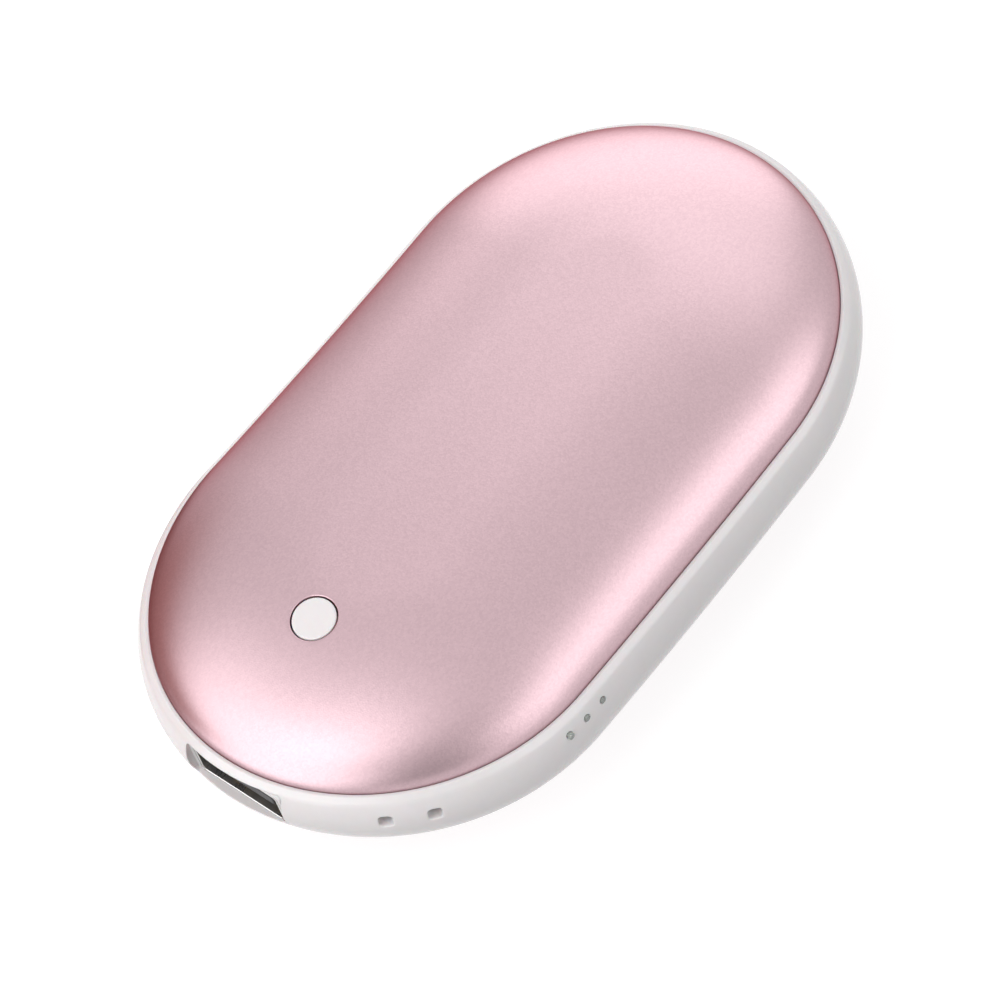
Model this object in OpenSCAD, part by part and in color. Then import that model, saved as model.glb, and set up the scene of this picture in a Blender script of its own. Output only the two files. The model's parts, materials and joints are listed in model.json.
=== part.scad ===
// Rechargeable hand warmer with a power outlet, in the shape of a flat pebble.
// +Z is up, -Y is the end with the power outlet, and the origin is at the middle of the flat underside.

/* [Body] */
// Length over the frame
body_l = 105.4; // [103.4:0.5:115.4]
// Width over the frame
body_w = 61.4; // [59.4:0.5:68.4]
// Height from the flat underside to the crown
body_h = 25; // [24.6:0.1:28]
// Length of each rounded end
end_l = 32.1; // [31.1:0.1:33.6]
// Height of the top shell above the frame, at mid-length
top_crown_h = 8.8; // [8.4:0.1:9.2]

/* [Frame] */
// Height of the frame's band
band_h = 9.4; // [9.2:0.1:10]
// Climb of the band's upper edge towards both ends
upper_rise = 2.9; // [2.6:0.1:3.1]
// Climb of the band's lower edge towards both ends
lower_rise = 3.4; // [3.1:0.1:3.6]
// Inset of the band's edges from its widest line
edge_inset = 2.08; // [1.95:0.01:2.2]
// Swell of the wall between its chamfers
wall_swell = 1.05; // [0.9:0.05:1.2]
// Height of the chamfer along both edges
chamfer_h = 0.6; // [0.4:0.05:0.8]
// Flat land between a chamfer and the shell
land_w = 0.35; // [0.25:0.01:0.45]
// Thickness of the wall at its widest line
frame_wall = 2; // [1.8:0.1:2.3]
// Width of the ledge under each shell's rim
ledge_w = 1.2; // [1.1:0.05:1.4]
// Thickness of that ledge
ledge_t = 0.8; // [0.7:0.05:1]
// Radius of the screw bosses inside the frame
boss_r = 2.1; // [1.9:0.1:2.4]
// Height of the screw bosses
boss_h = 2.2; // [2:0.1:2.6]

/* [Shells] */
// Thickness of the shells' sheet
shell_t = 0.8; // [0.6:0.05:0.85]
// Width of the soft edge, from the rim to the flat
shell_soft = 22.2; // [21:0.1:23]
// Power of the soft edge's curve: 2 is an ellipse
soft_power = 1.8; // [1.75:0.05:2]
// Depth of each rim below the frame's edge
rim_drop = 0.9; // [0.7:0.05:1]
// Thickness of the glue under each rim
glue_t = 0.15; // [0.1:0.01:0.2]
// Gap between a shell and the frame
joint_gap = 0.12; // [0.08:0.01:0.16]

/* [Button] */
// Distance of the button's axis from the front end
button_from_end = 20.25; // [19.7:0.05:21.2]
// Radius of the button's face
button_r = 2.7; // [2.4:0.1:2.9]
// Gap round the button in the top shell
button_gap = 0.18; // [0.12:0.02:0.25]
// Radius of the flange under the top shell
flange_r = 3.9; // [3.5:0.1:4.1]
// Thickness of the flange
flange_t = 0.8; // [0.6:0.05:0.9]
// Radius of the stem
stem_r = 1.6; // [1.4:0.1:1.8]
// Travel of the button
press = 0.3; // [0.2:0.05:0.3]

/* [Switch] */
// Width of the square switch
switch_w = 6; // [5.6:0.1:6.2]
// Height of its base
switch_base_h = 3.1; // [2.8:0.1:3.4]
// Thickness of its steel lid
switch_lid_t = 0.3; // [0.2:0.05:0.4]
// Height of the plunger's top above the board
plunger_top_h = 9; // [8.8:0.1:9.2]
// Radius of the plunger
plunger_r = 1.7; // [1.5:0.1:1.8]

/* [Outlet] */
// Place of the outlet to the right of the middle
outlet_x = 1.1; // [0:0.1:2]
// Width of the outlet's steel shell
outlet_w = 13; // [12.8:0.1:13.4]
// Height of the outlet's steel shell
outlet_h = 5.7; // [5.5:0.1:5.8]
// Length of the outlet's steel shell
outlet_l = 14; // [13:0.1:14]
// Thickness of its sheet
outlet_sheet = 0.3; // [0.25:0.05:0.35]
// Distance of its mouth from the front end
outlet_recess = 1.65; // [1.5:0.05:1.75]
// Height of its steel shell above the board, on its legs
outlet_lift = 0.3; // [0.2:0.05:0.35]
// Width of the slot in the frame
slot_w = 14.2; // [13.8:0.1:14.6]
// Height of the slot in the frame
slot_h = 6.1; // [5.9:0.05:6.2]
// Radius of the slot's corners
slot_corner = 0.7; // [0.4:0.1:1]
// Width of the tongue
tongue_w = 11.1; // [10.8:0.1:11.4]
// Thickness of the tongue
tongue_t = 1.85; // [1.7:0.05:1.95]

/* [Inlet] */
// Distance of the inlet from the front end
inlet_from_end = 28.7; // [28.2:0.1:29.2]
// Width of the inlet's steel shell
inlet_w = 7.5; // [7.3:0.1:7.7]
// Height of the inlet's steel shell
inlet_h = 2.7; // [2.6:0.1:2.9]
// Length of the inlet's steel shell
inlet_l = 5.6; // [5.3:0.1:6]

/* [Lanyard] */
// Angle of the lanyard's bar round the front end
lanyard_angle = 43.9; // [41:0.1:46]
// Distance between the two holes
lanyard_pitch = 5.7; // [5.2:0.1:6.2]
// Width of each hole
lanyard_w = 1.7; // [1.5:0.1:1.9]
// Height of the holes above the band's middle line
lanyard_lift = 1.25; // [0.9:0.05:1.35]

/* [Lights] */
// Distance of the middle window from the front end
lights_from_end = 30.6; // [30.1:0.1:31.1]
// Distance between the windows
lights_pitch = 2.9; // [2.6:0.05:3]
// Radius of each window
window_r = 0.48; // [0.4:0.02:0.55]
// Height of the windows above the band's middle line
lights_lift = 2.6; // [2.2:0.05:2.7]

/* [Cells] */
// Height taken up above and below the cells, by the shells, films, foam and tray
cell_room_h = 6.7; // [6.6:0.1:7.2]
// Width taken up beside each cell, by the tray, its screws and the frame
cell_room_w = 11.95; // [11.9:0.05:12.4]
// Length left behind the cells
cell_room_l = 14.9; // [14.7:0.1:16.2]
// Gap between the two cells
cell_gap = 0.4; // [0.3:0.1:0.8]

/* [Board] */
// Thickness of the circuit board
board_t = 1.2; // [1:0.1:1.4]
// Height of its upper face above the frame's middle, at mid-length
board_lift = 0.1; // [0:0.05:0.2]
// Gap between the board's outline and the frame's widest line
board_inset = 3.8; // [3.7:0.1:4.1]

/* [Hidden] */

// Overrun of every cut, and the fineness of round shapes
cut = 1;
$fn = 48;

// The driving shape, halved
half_l = body_l / 2;
half_w = body_w / 2;
straight_l = body_l - 2 * end_l;
front_y = -half_l;
frame_mid_z = body_h - top_crown_h - band_h / 2;

// The outline: 36 steps round each end and 6 along each side, as [across, along, middle of the end]
end_steps = 36;
side_steps = 6;
outline = concat(
    [for (k = [0:side_steps - 1]) [1, 0, straight_l * (k / side_steps - 1 / 2)]],
    [for (k = [0:end_steps - 1]) [cos(180 * k / end_steps), sin(180 * k / end_steps), straight_l / 2]],
    [for (k = [0:side_steps - 1]) [-1, 0, straight_l * (1 / 2 - k / side_steps)]],
    [for (k = [0:end_steps - 1]) [-cos(180 * k / end_steps), -sin(180 * k / end_steps), -straight_l / 2]]);

// A point of the outline, at an inset from the frame's widest line
function plan(spot, inset) = [spot[0] * (half_w - inset), spot[2] + spot[1] * (end_l - inset)];
// Half the width of the outline at a place along it
function plan_x(y, inset) =
    (half_w - inset) * sqrt(1 - pow(max(0, abs(y) - straight_l / 2) / (end_l - inset), 2));

// The band's edges and middle line climb towards both ends
function climb(y) = pow(y / half_l, 2);
function upper_edge(y) = frame_mid_z + band_h / 2 + upper_rise * climb(y);
function lower_edge(y) = frame_mid_z - band_h / 2 + lower_rise * climb(y);
function band_mid(y) = (upper_edge(y) + lower_edge(y)) / 2;
function band_half(y) = (upper_edge(y) - lower_edge(y)) / 2;

function turned(list) = [for (k = [len(list) - 1:-1:0]) list[k]];

// Faces between a stack of rings with the same number of points
function side_faces(rings, n, closed) = [
    for (i = [0:rings - (closed ? 1 : 2)], k = [0:n - 1])
        let (a = i * n, b = ((i + 1) % rings) * n, m = (k + 1) % n)
            each [[a + k, b + k, b + m], [a + k, b + m, a + m]]];
// Each flat end is a fan about its middle
function end_faces(rings, n) = [
    for (k = [0:n - 1])
        let (m = (k + 1) % n, last = (rings - 1) * n)
            each [[rings * n, k, m], [rings * n + 1, last + m, last + k]]];
function ring_middle(ring) = (ring[0] + ring[len(ring) / 2]) / 2;

// A solid from a stack of rings: a closed loop of them, or a stack with two flat ends.
// The stack climbs on its outer side, with each ring's points anticlockwise from above.
module ring_solid(rings, closed) {
    n = len(rings[0]);
    polyhedron(
        points = concat([for (ring = rings) each ring],
            closed ? [] : [ring_middle(rings[0]), ring_middle(rings[len(rings) - 1])]),
        faces = concat(side_faces(len(rings), n, closed), closed ? [] : end_faces(len(rings), n)),
        convexity = 6);
}

// The frame's section, as [inset, share of the band's half height, fall towards the middle line]
rebate_d = rim_drop + glue_t;
ledge_inset = edge_inset + ledge_w;
relief_slope = 0.8;
wall_steps = 5;
frame_section = concat(
    [[edge_inset, 1, 0], [edge_inset - land_w, 1, 0]],
    [for (k = [-wall_steps:wall_steps])
        let (s = -k / wall_steps) [wall_swell * s * s, s, chamfer_h * s]],
    [[edge_inset - land_w, -1, 0], [edge_inset, -1, 0], [edge_inset, -1, -rebate_d],
        [ledge_inset, -1, -rebate_d], [ledge_inset, -1, -rebate_d - ledge_t],
        [frame_wall, -1, -rebate_d - ledge_t - relief_slope],
        [frame_wall, 1, rebate_d + ledge_t + relief_slope], [ledge_inset, 1, rebate_d + ledge_t],
        [ledge_inset, 1, rebate_d], [edge_inset, 1, rebate_d]]);
function band_ring(p) = [for (spot = outline)
    let (q = plan(spot, p[0])) [q[0], q[1], band_mid(q[1]) + p[1] * band_half(q[1]) - p[2]]];

// A shell's section, as [inset, share of the crown's height, fall below the edge, depth in the sheet]
rim_inset = edge_inset + joint_gap;
soft_steps = 9;
function soft_in(t) = 1 - pow(cos(t), 2 / soft_power);
function soft_up(t) = pow(sin(t), 2 / soft_power);
function soft_points(depth) = [
    for (k = [0:soft_steps])
        let (t = 90 * k / soft_steps)
            [rim_inset + depth + (shell_soft - depth) * soft_in(t), soft_up(t), 0, depth]];
shell_section = concat(
    turned(soft_points(shell_t)),
    [[rim_inset + shell_t, 0, rim_drop, shell_t], [rim_inset, 0, rim_drop, 0]],
    soft_points(0));
// Height of a shell's surface over an edge: side is 1 for the top shell and -1 for the bottom one
function crown_z(side, depth) = side > 0 ? body_h - depth : depth;
function edge_z(side, y) = side > 0 ? upper_edge(y) : lower_edge(y);
function shell_ring(p, side) = [for (spot = outline)
    let (q = plan(spot, p[0]), e = edge_z(side, q[1]))
        [q[0], q[1], e + p[1] * (crown_z(side, p[3]) - e) - side * p[2]]];
// Share of the crown's height at an inset, at a depth in the sheet
function crown_share(inset, depth) =
    let (u = max(0, min(1, (inset - rim_inset - depth) / (shell_soft - depth))))
        pow(1 - pow(1 - u, soft_power), 1 / soft_power);
function crown_at(side, y, inset, depth) =
    edge_z(side, y) + crown_share(inset, depth) * (crown_z(side, depth) - edge_z(side, y));

// The board and what stands on it
board_top = frame_mid_z + board_lift;
board_bottom = board_top - board_t;
button_y = front_y + button_from_end;
board_edge = 0.9;
board_rear = button_y + switch_w / 2 + board_edge;
outlet_y = front_y + outlet_recess;
outlet_base = board_top + outlet_lift;
outlet_rear = outlet_y + outlet_l;
slot_sill = 0.1;
inlet_y = front_y + inlet_from_end;
lights_y = front_y + lights_from_end;
arm_end = 4.5;
arm_rear = max(inlet_y + inlet_w / 2, lights_y + lights_pitch) + arm_end;

// The two cells lie behind the board, at half height, and are as large as the body's room for them
strip_t = 0.2;
cell_clear = 1.2;
cell_front = board_rear + cell_clear + strip_t;
cell_rear = half_l - cell_room_l;
cell_l = cell_rear - cell_front;
cell_d = min(body_h - cell_room_h, half_w - cell_room_w - cell_gap / 2);
cell_z = body_h / 2;
cell_x = (cell_d + cell_gap) / 2;
cap_h = 1;
cap_r = 2.9;
sleeve_t = 0.15;
ring_t = 0.3;
bay_half = cell_x + cell_d / 2 + cell_clear;

// The films and foam sheets between the cells and the shells
film_t = 0.2;
film_gap = 0.05;
film_inset = 14.5;
film_steps = 3;
foam_gap = 0.1;

// The button and its switch
button_slope = atan((crown_at(1, button_y + button_r, half_l + button_y + button_r, 0)
    - crown_at(1, button_y - button_r, half_l + button_y - button_r, 0)) / (2 * button_r));
button_top = crown_at(1, button_y, button_from_end, 0);
plunger_top = board_top + plunger_top_h;
stem_gap = 0.1;
guide_t = 1;
guide_gap = 0.15;
stem_bottom = plunger_top + stem_gap;
guide_bottom = stem_bottom + press / 2;
flange_bottom = guide_bottom + guide_t + press + guide_gap;
running_gap = 0.2;

// Screws
screw_r = 0.75;
screw_head_r = 1.5;
screw_head_h = 0.9;
screw_bite = 1.3;
screw_fit = 0.05;
screw_hole_gap = 0.15;
board_screw_share = 0.575;
board_screw_x = board_screw_share * half_w;
board_screw_in = 14;
board_screw_y = front_y + board_screw_in;
ear_t = 1.1;
tray_drop = 1;
tray_top = cell_z - tray_drop;
ear_bottom = tray_top - ear_t;
ear_out = 4.2;
ear_x = bay_half + ear_out;
ear_w = 5;
ear_over = 2.2;
ear_clear = 2.4;
ear_rear_share = 0.757;
ear_places = [arm_rear + ear_clear + ear_w / 2, cell_front + ear_rear_share * cell_l];
rib_w = 3;
rib_t = 0.8;
rib_sink = 0.05;

// A box from its lowest corner to its highest
module block(low, high) {
    translate(low)
        cube([high[0] - low[0], high[1] - low[1], high[2] - low[2]]);
}

// A box centred on a place in plan, standing on a height
module standing(place, size, z) {
    translate([place[0] - size[0] / 2, place[1] - size[1] / 2, z])
        cube(size);
}

// A box with round corners, lying along Y
module rounded_slot(w, h, l, r) {
    for (x = [-1, 1], z = [-1, 1])
        translate([x * (w / 2 - r), 0, z * (h / 2 - r)])
            rotate([90, 0, 0])
                cylinder(r = r, h = l, center = true);
    cube([w - 2 * r, l, h], center = true);
    cube([w, l, h - 2 * r], center = true);
}

// A wire through a row of points, eight-sided
wire_sides = 8;
function unit(v) = v / norm(v);
function wire_way(points, i) =
    unit(points[min(i + 1, len(points) - 1)] - points[max(i - 1, 0)]);
function wire_ring(points, i, r) =
    let (
        way = wire_way(points, i),
        side = unit(cross(abs(way[0]) > abs(way[2]) ? [0, 0, 1] : [1, 0, 0], way)),
        up = cross(way, side))
        [for (k = [0:wire_sides - 1])
            points[i] + r * (cos(360 * k / wire_sides) * side + sin(360 * k / wire_sides) * up)];
module wire(points, r) {
    ring_solid([for (i = [0:len(points) - 1]) wire_ring(points, i, r)], false);
}

// One of the frame's screw bosses, with the rib that carries it
module frame_boss(x, y, top) {
    wall_x = plan_x(y, frame_wall) + rib_sink;
    low = max(top - rib_t, lower_edge(abs(y) + rib_w / 2) + rebate_d + rib_sink);
    translate([x, y, top - boss_h])
        cylinder(r = boss_r, h = boss_h);
    block([min(x, sign(x) * wall_x), y - rib_w / 2, low],
        [max(x, sign(x) * wall_x), y + rib_w / 2, top - rib_sink]);
}
module boss_bore(x, y, top) {
    translate([x, y, top - boss_h - cut])
        cylinder(r = screw_r + screw_fit, h = boss_h + 2 * cut);
}

// The lanyard's bar stands between two holes that meet in a pocket behind the wall
lanyard_depth = 3.7;
lanyard_back = 0.9;
lanyard_side = 1;
lanyard_cover = 0.6;
lanyard_bar_t = 1.9;
lanyard_corner = 0.35;
lanyard_spot = plan([sin(lanyard_angle), -cos(lanyard_angle), -straight_l / 2], 0);
// The pair of holes leans with the band, which climbs towards the front
lanyard_reach = lanyard_pitch / 2 * sin(lanyard_angle);
lanyard_lean = atan((band_mid(lanyard_spot[1] - lanyard_reach)
    - band_mid(lanyard_spot[1] + lanyard_reach)) / lanyard_pitch);
module at_lanyard() {
    translate([lanyard_spot[0], lanyard_spot[1], band_mid(lanyard_spot[1]) + lanyard_lift])
        rotate([0, 0, lanyard_angle])
            rotate([0, lanyard_lean, 0])
                children();
}
module lanyard_boss() {
    at_lanyard()
        translate([-lanyard_pitch / 2 - lanyard_w / 2 - lanyard_side, edge_inset, -lanyard_w / 2 - lanyard_side])
            cube([lanyard_pitch + lanyard_w + 2 * lanyard_side, lanyard_depth + lanyard_back - edge_inset,
                lanyard_w + lanyard_side + lanyard_cover]);
}
module lanyard_holes() {
    at_lanyard() {
        for (x = [-1, 1])
            translate([x * lanyard_pitch / 2, (lanyard_depth - cut) / 2, 0])
                rounded_slot(lanyard_w, lanyard_w, lanyard_depth + cut, lanyard_corner);
        translate([-lanyard_pitch / 2, lanyard_bar_t, -lanyard_w / 2])
            cube([lanyard_pitch, lanyard_depth - lanyard_bar_t, lanyard_w]);
    }
}

// Frame, glue and shells
inlet_clear = 0.45;
seat_gap = 0.1;
module middle_frame() {
    color("white")
        difference() {
            union() {
                ring_solid([for (p = turned(frame_section)) band_ring(p)], true);
                for (x = [-1, 1]) {
                    frame_boss(x * board_screw_x, board_screw_y, board_bottom);
                    for (y = ear_places)
                        frame_boss(x * ear_x, y, ear_bottom);
                }
                lanyard_boss();
            }
            for (x = [-1, 1]) {
                boss_bore(x * board_screw_x, board_screw_y, board_bottom);
                for (y = ear_places)
                    boss_bore(x * ear_x, y, ear_bottom);
            }
            translate([outlet_x, front_y, outlet_base + slot_sill + slot_h / 2])
                rounded_slot(slot_w, slot_h, 2 * outlet_recess, slot_corner);
            block([outlet_x - outlet_w / 2 - seat_gap, outlet_y - seat_gap, outlet_base - seat_gap],
                [outlet_x + outlet_w / 2 + seat_gap, outlet_rear, outlet_base + outlet_h + seat_gap]);
            translate([-half_w, inlet_y, board_top + inlet_h / 2])
                rotate([0, 0, 90])
                    rounded_slot(inlet_w + 2 * inlet_clear, inlet_h + 2 * inlet_clear,
                        2 * ledge_inset + 2 * cut, slot_corner);
            for (k = [-1:1])
                translate([half_w, lights_y + k * lights_pitch, band_mid(lights_y + k * lights_pitch) + lights_lift])
                    rotate([0, 90, 0])
                        cylinder(r = window_r, h = 2 * ledge_inset + 2 * cut, center = true);
            lanyard_holes();
        }
}

glue_inset = rim_inset + glue_t;
glue_w = shell_t - 2 * glue_t;
glue_slack = 0.03;
module glue_ring(side) {
    high = side * (rim_drop + glue_slack);
    low = side * (rebate_d - glue_slack);
    section = [[glue_inset, side, high], [glue_inset, side, low],
        [glue_inset + glue_w, side, low], [glue_inset + glue_w, side, high]];
    ring_solid([for (p = side > 0 ? turned(section) : section) band_ring(p)], true);
}
module glue_ring_top() {
    color("gray")
        glue_ring(1);
}
module glue_ring_bottom() {
    color("gray")
        glue_ring(-1);
}

module shell(side) {
    section = side > 0 ? shell_section : turned(shell_section);
    ring_solid([for (p = section) shell_ring(p, side)], false);
}
module top_shell() {
    color("pink")
        difference() {
            shell(1);
            translate([0, button_y, button_top - shell_t - 2 * cut])
                cylinder(r = button_r + button_gap, h = shell_t + 4 * cut);
        }
}
module bottom_shell() {
    color("pink")
        shell(-1);
}

// Button, its guide and the switch
cap_sunk = 0.05;
module button_cap() {
    color("white")
        difference() {
            union() {
                translate([0, button_y, stem_bottom])
                    cylinder(r = stem_r, h = flange_bottom - stem_bottom);
                translate([0, button_y, flange_bottom])
                    cylinder(r = flange_r, h = flange_t);
                translate([0, button_y, flange_bottom + flange_t])
                    cylinder(r = button_r, h = button_top - flange_bottom - flange_t + cut);
            }
            translate([0, button_y, button_top - cap_sunk])
                rotate([button_slope, 0, 0])
                    translate([-flange_r, -flange_r, 0])
                        cube([2 * flange_r, 2 * flange_r, 2 * cut]);
        }
}

guide_half = 6.5;
guide_leg = 1;
guide_leg_w = 5;
module button_guide() {
    color("gainsboro")
        difference() {
            union() {
                standing([0, button_y], [2 * guide_half, 2 * flange_r, guide_t], guide_bottom);
                for (x = [-1, 1])
                    standing([x * (guide_half - guide_leg / 2), button_y],
                        [guide_leg, guide_leg_w, guide_bottom + guide_t / 2 - board_top], board_top);
            }
            translate([0, button_y, guide_bottom - cut])
                cylinder(r = stem_r + running_gap, h = guide_t + 2 * cut);
        }
}

dome_t = 0.12;
plunger_foot_r = 2.1;
plunger_foot_h = 0.9;
well_gap = 0.15;
well_d = plunger_foot_h + dome_t + press + 2 * well_gap;
plunger_foot_z = board_top + switch_base_h - well_gap - plunger_foot_h;
module switch_base() {
    color("dimgray")
        difference() {
            standing([0, button_y], [switch_w, switch_w, switch_base_h], board_top);
            translate([0, button_y, board_top + switch_base_h - well_d])
                cylinder(r = plunger_foot_r + running_gap, h = well_d + cut);
        }
}
module switch_lid() {
    color("silver")
        difference() {
            standing([0, button_y], [switch_w, switch_w, switch_lid_t], board_top + switch_base_h);
            translate([0, button_y, board_top + switch_base_h - cut])
                cylinder(r = plunger_r + running_gap, h = switch_lid_t + 2 * cut);
        }
}
module switch_plunger() {
    color("black")
        translate([0, button_y, 0]) {
            translate([0, 0, plunger_foot_z])
                cylinder(r = plunger_foot_r, h = plunger_foot_h);
            translate([0, 0, plunger_foot_z])
                cylinder(r = plunger_r, h = plunger_top - plunger_foot_z);
        }
}
module switch_dome() {
    color("goldenrod")
        translate([0, button_y, board_top + switch_base_h - well_d])
            cylinder(r = plunger_foot_r, h = dome_t);
}
pin_w = 0.7;
pin_t = 0.3;
pin_out = 0.9;
pin_shares = [-0.375, 0.375];
module switch_pins() {
    color("silver")
        for (x = [-1, 1], share = pin_shares)
            standing([x * (switch_w + pin_out) / 2, button_y + share * switch_w], [pin_out, pin_w, pin_t],
                board_top);
}

// Circuit board and its parts
leg_w = 2;
leg_shares = [0.36, 0.75];
leg_fit = 0.1;
module outlet_legs(grow) {
    for (x = [-1, 1], share = leg_shares)
        standing([outlet_x + x * (outlet_w - outlet_sheet) / 2, outlet_y + share * outlet_l],
            [outlet_sheet + 2 * grow, leg_w + 2 * grow, outlet_floor - board_bottom], board_bottom);
}
module circuit_board() {
    color("darkgreen")
        difference() {
            translate([0, 0, board_bottom])
                linear_extrude(board_t)
                    difference() {
                        polygon([for (spot = outline) plan(spot, board_inset)]);
                        translate([-half_w, arm_rear])
                            square([body_w, body_l]);
                        translate([-bay_half, board_rear])
                            square([2 * bay_half, body_l]);
                    }
            outlet_legs(leg_fit);
            for (x = [-1, 1])
                translate([x * board_screw_x, board_screw_y, board_bottom - cut])
                    cylinder(r = screw_r + screw_hole_gap, h = board_t + 2 * cut);
        }
}
module screw(x, y, top, grip) {
    translate([x, y, top])
        cylinder(r = screw_head_r, h = screw_head_h);
    translate([x, y, top - grip - screw_bite])
        cylinder(r = screw_r, h = grip + screw_bite);
}
module board_screws() {
    color("silver")
        for (x = [-1, 1])
            screw(x * board_screw_x, board_screw_y, board_top, board_t);
}

// Power outlet
outlet_back = 3;
outlet_fit = 0.05;
tongue_recess = 0.1;
tongue_lift = 2.65;
contact_w = 1;
contact_t = 0.2;
contact_l = 7.5;
contact_from = 1.2;
contact_shares = [-0.315, -0.09, 0.09, 0.315];
outlet_floor = outlet_base + outlet_sheet;
module outlet_shell() {
    color("silver") {
        difference() {
            standing([outlet_x, outlet_y + outlet_l / 2], [outlet_w, outlet_l, outlet_h], outlet_base);
            standing([outlet_x, outlet_y + outlet_l / 2],
                [outlet_w - 2 * outlet_sheet, outlet_l + 2 * cut, outlet_h - 2 * outlet_sheet], outlet_floor);
        }
        outlet_legs(0);
    }
}
module outlet_tongue() {
    color("black") {
        standing([outlet_x, outlet_rear - outlet_back / 2],
            [outlet_w - 2 * outlet_sheet - 2 * outlet_fit, outlet_back,
                outlet_h - 2 * outlet_sheet - 2 * outlet_fit], outlet_floor + outlet_fit);
        block([outlet_x - tongue_w / 2, outlet_y + tongue_recess, outlet_floor + tongue_lift],
            [outlet_x + tongue_w / 2, outlet_rear - outlet_back / 2, outlet_floor + tongue_lift + tongue_t]);
    }
}
module outlet_contacts() {
    color("gold")
        for (share = contact_shares)
            standing([outlet_x + share * tongue_w, outlet_y + tongue_recess + contact_from + contact_l / 2],
                [contact_w, contact_l, contact_t], outlet_floor + tongue_lift - contact_t);
}

// Charging inlet, facing -X
inlet_sheet = 0.25;
inlet_mouth = 1.55;
inlet_bevel = 0.9;
inlet_tongue_w = 3.7;
inlet_tongue_t = 0.6;
inlet_back = 1.2;
inlet_x = -half_w + inlet_mouth;
module inlet_form(shrink, from, to) {
    w = inlet_w / 2 - shrink;
    translate([inlet_x, inlet_y, board_top + shrink])
        rotate([90, 0, 90])
            translate([0, 0, from])
                linear_extrude(to - from)
                    polygon([[-w + inlet_bevel, 0], [w - inlet_bevel, 0], [w, inlet_bevel],
                        [w, inlet_h - 2 * shrink], [-w, inlet_h - 2 * shrink], [-w, inlet_bevel]]);
}
module inlet_shell() {
    color("silver")
        difference() {
            inlet_form(0, 0, inlet_l);
            inlet_form(inlet_sheet, -cut, inlet_l + cut);
        }
}
module inlet_tongue() {
    color("black") {
        inlet_form(inlet_sheet + outlet_fit, inlet_l - inlet_back, inlet_l);
        block([inlet_x + inlet_back / 2, inlet_y - inlet_tongue_w / 2, board_top + (inlet_h - inlet_tongue_t) / 2],
            [inlet_x + inlet_l - inlet_back / 2, inlet_y + inlet_tongue_w / 2,
                board_top + (inlet_h + inlet_tongue_t) / 2]);
    }
}

// Parts soldered to the board. Their places are shares of the way across from the outlet's side
// to the board's edge, and of the button's distance from the end, along from the button's axis.
board_half = half_w - board_inset;
parts_from = outlet_x + outlet_w / 2;
chip_size = [4.9, 3.9, 1.5];
chip_shares = [[-0.19, -0.48], [0.21, -0.39]];
inductor_size = [6, 6, 2.8];
inductor_share = [-0.24, -0.07];
inductor_lip = 0.5;
inductor_core_r = 2.2;
cap_size = [3.2, 1.6, 1.5];
cap_shares = [[-0.62, -0.03], [-0.62, 0.1], [-0.81, 0.69], [0.7, -0.03], [0.7, 0.1]];
resistor_size = [1.6, 0.8, 0.45];
resistor_shares = [[-0.62, -0.17], [-0.09, -0.31], [-0.23, -0.31], [0.11, -0.22], [0.25, -0.22], [0.76, 0.22]];
transistor_size = [3, 1.6, 1.1];
transistor_shares = [[0.25, -0.05], [0.25, 0.1], [0.47, -0.05]];
function board_place(shares) = [
    sign(shares[0]) * (parts_from + abs(shares[0]) * (board_half - parts_from)),
    button_y + shares[1] * button_from_end];
module parts_at(table, size) {
    for (shares = table)
        standing(board_place(shares), size, board_top);
}
module control_chips() {
    color("black")
        parts_at(chip_shares, chip_size);
}
module power_inductor() {
    place = board_place(inductor_share);
    color("dimgray") {
        standing(place, [inductor_size[0], inductor_size[1], inductor_lip], board_top);
        translate([place[0], place[1], board_top])
            cylinder(r = inductor_core_r, h = inductor_size[2]);
        standing(place, [inductor_size[0], inductor_size[1], inductor_lip],
            board_top + inductor_size[2] - inductor_lip);
    }
}
module capacitors() {
    color("tan")
        parts_at(cap_shares, cap_size);
}
module resistors() {
    color("black")
        parts_at(resistor_shares, resistor_size);
}
module power_transistors() {
    color("black")
        parts_at(transistor_shares, transistor_size);
}

// Charge lights and the clear guide in the windows
light_size = [1.2, 1.6, 0.8];
guide_block_w = 2.2;
guide_block_gap = 0.35;
guide_block_over = 1.3;
guide_foot = 1;
pin_gap = 0.06;
pin_sink = 0.35;
guide_reach = lights_pitch + guide_block_over;
guide_block_x = plan_x(abs(lights_y) + guide_reach + guide_foot, ledge_inset) - guide_block_gap;
guide_block_z = board_top + light_size[2] + guide_block_gap;
guide_block_top = band_mid(lights_y) + lights_lift + window_r + guide_block_gap;
module charge_lights() {
    color("lightyellow")
        for (k = [-1:1])
            standing([guide_block_x - guide_block_w / 2, lights_y + k * lights_pitch], light_size, board_top);
}
module light_guide() {
    color("lightcyan") {
        block([guide_block_x - guide_block_w, lights_y - guide_reach, guide_block_z],
            [guide_block_x, lights_y + guide_reach, guide_block_top]);
        for (y = [-1, 1])
            standing([guide_block_x - guide_block_w / 2, lights_y + y * (guide_reach + guide_foot / 2)],
                [guide_block_w, guide_foot, guide_block_top - board_top], board_top);
        for (k = [-1:1])
            translate([guide_block_x - guide_block_w / 2, lights_y + k * lights_pitch,
                band_mid(lights_y + k * lights_pitch) + lights_lift])
                rotate([0, 90, 0])
                    cylinder(r = window_r - pin_gap, h = half_w - pin_sink - guide_block_x + guide_block_w / 2);
    }
}

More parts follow.
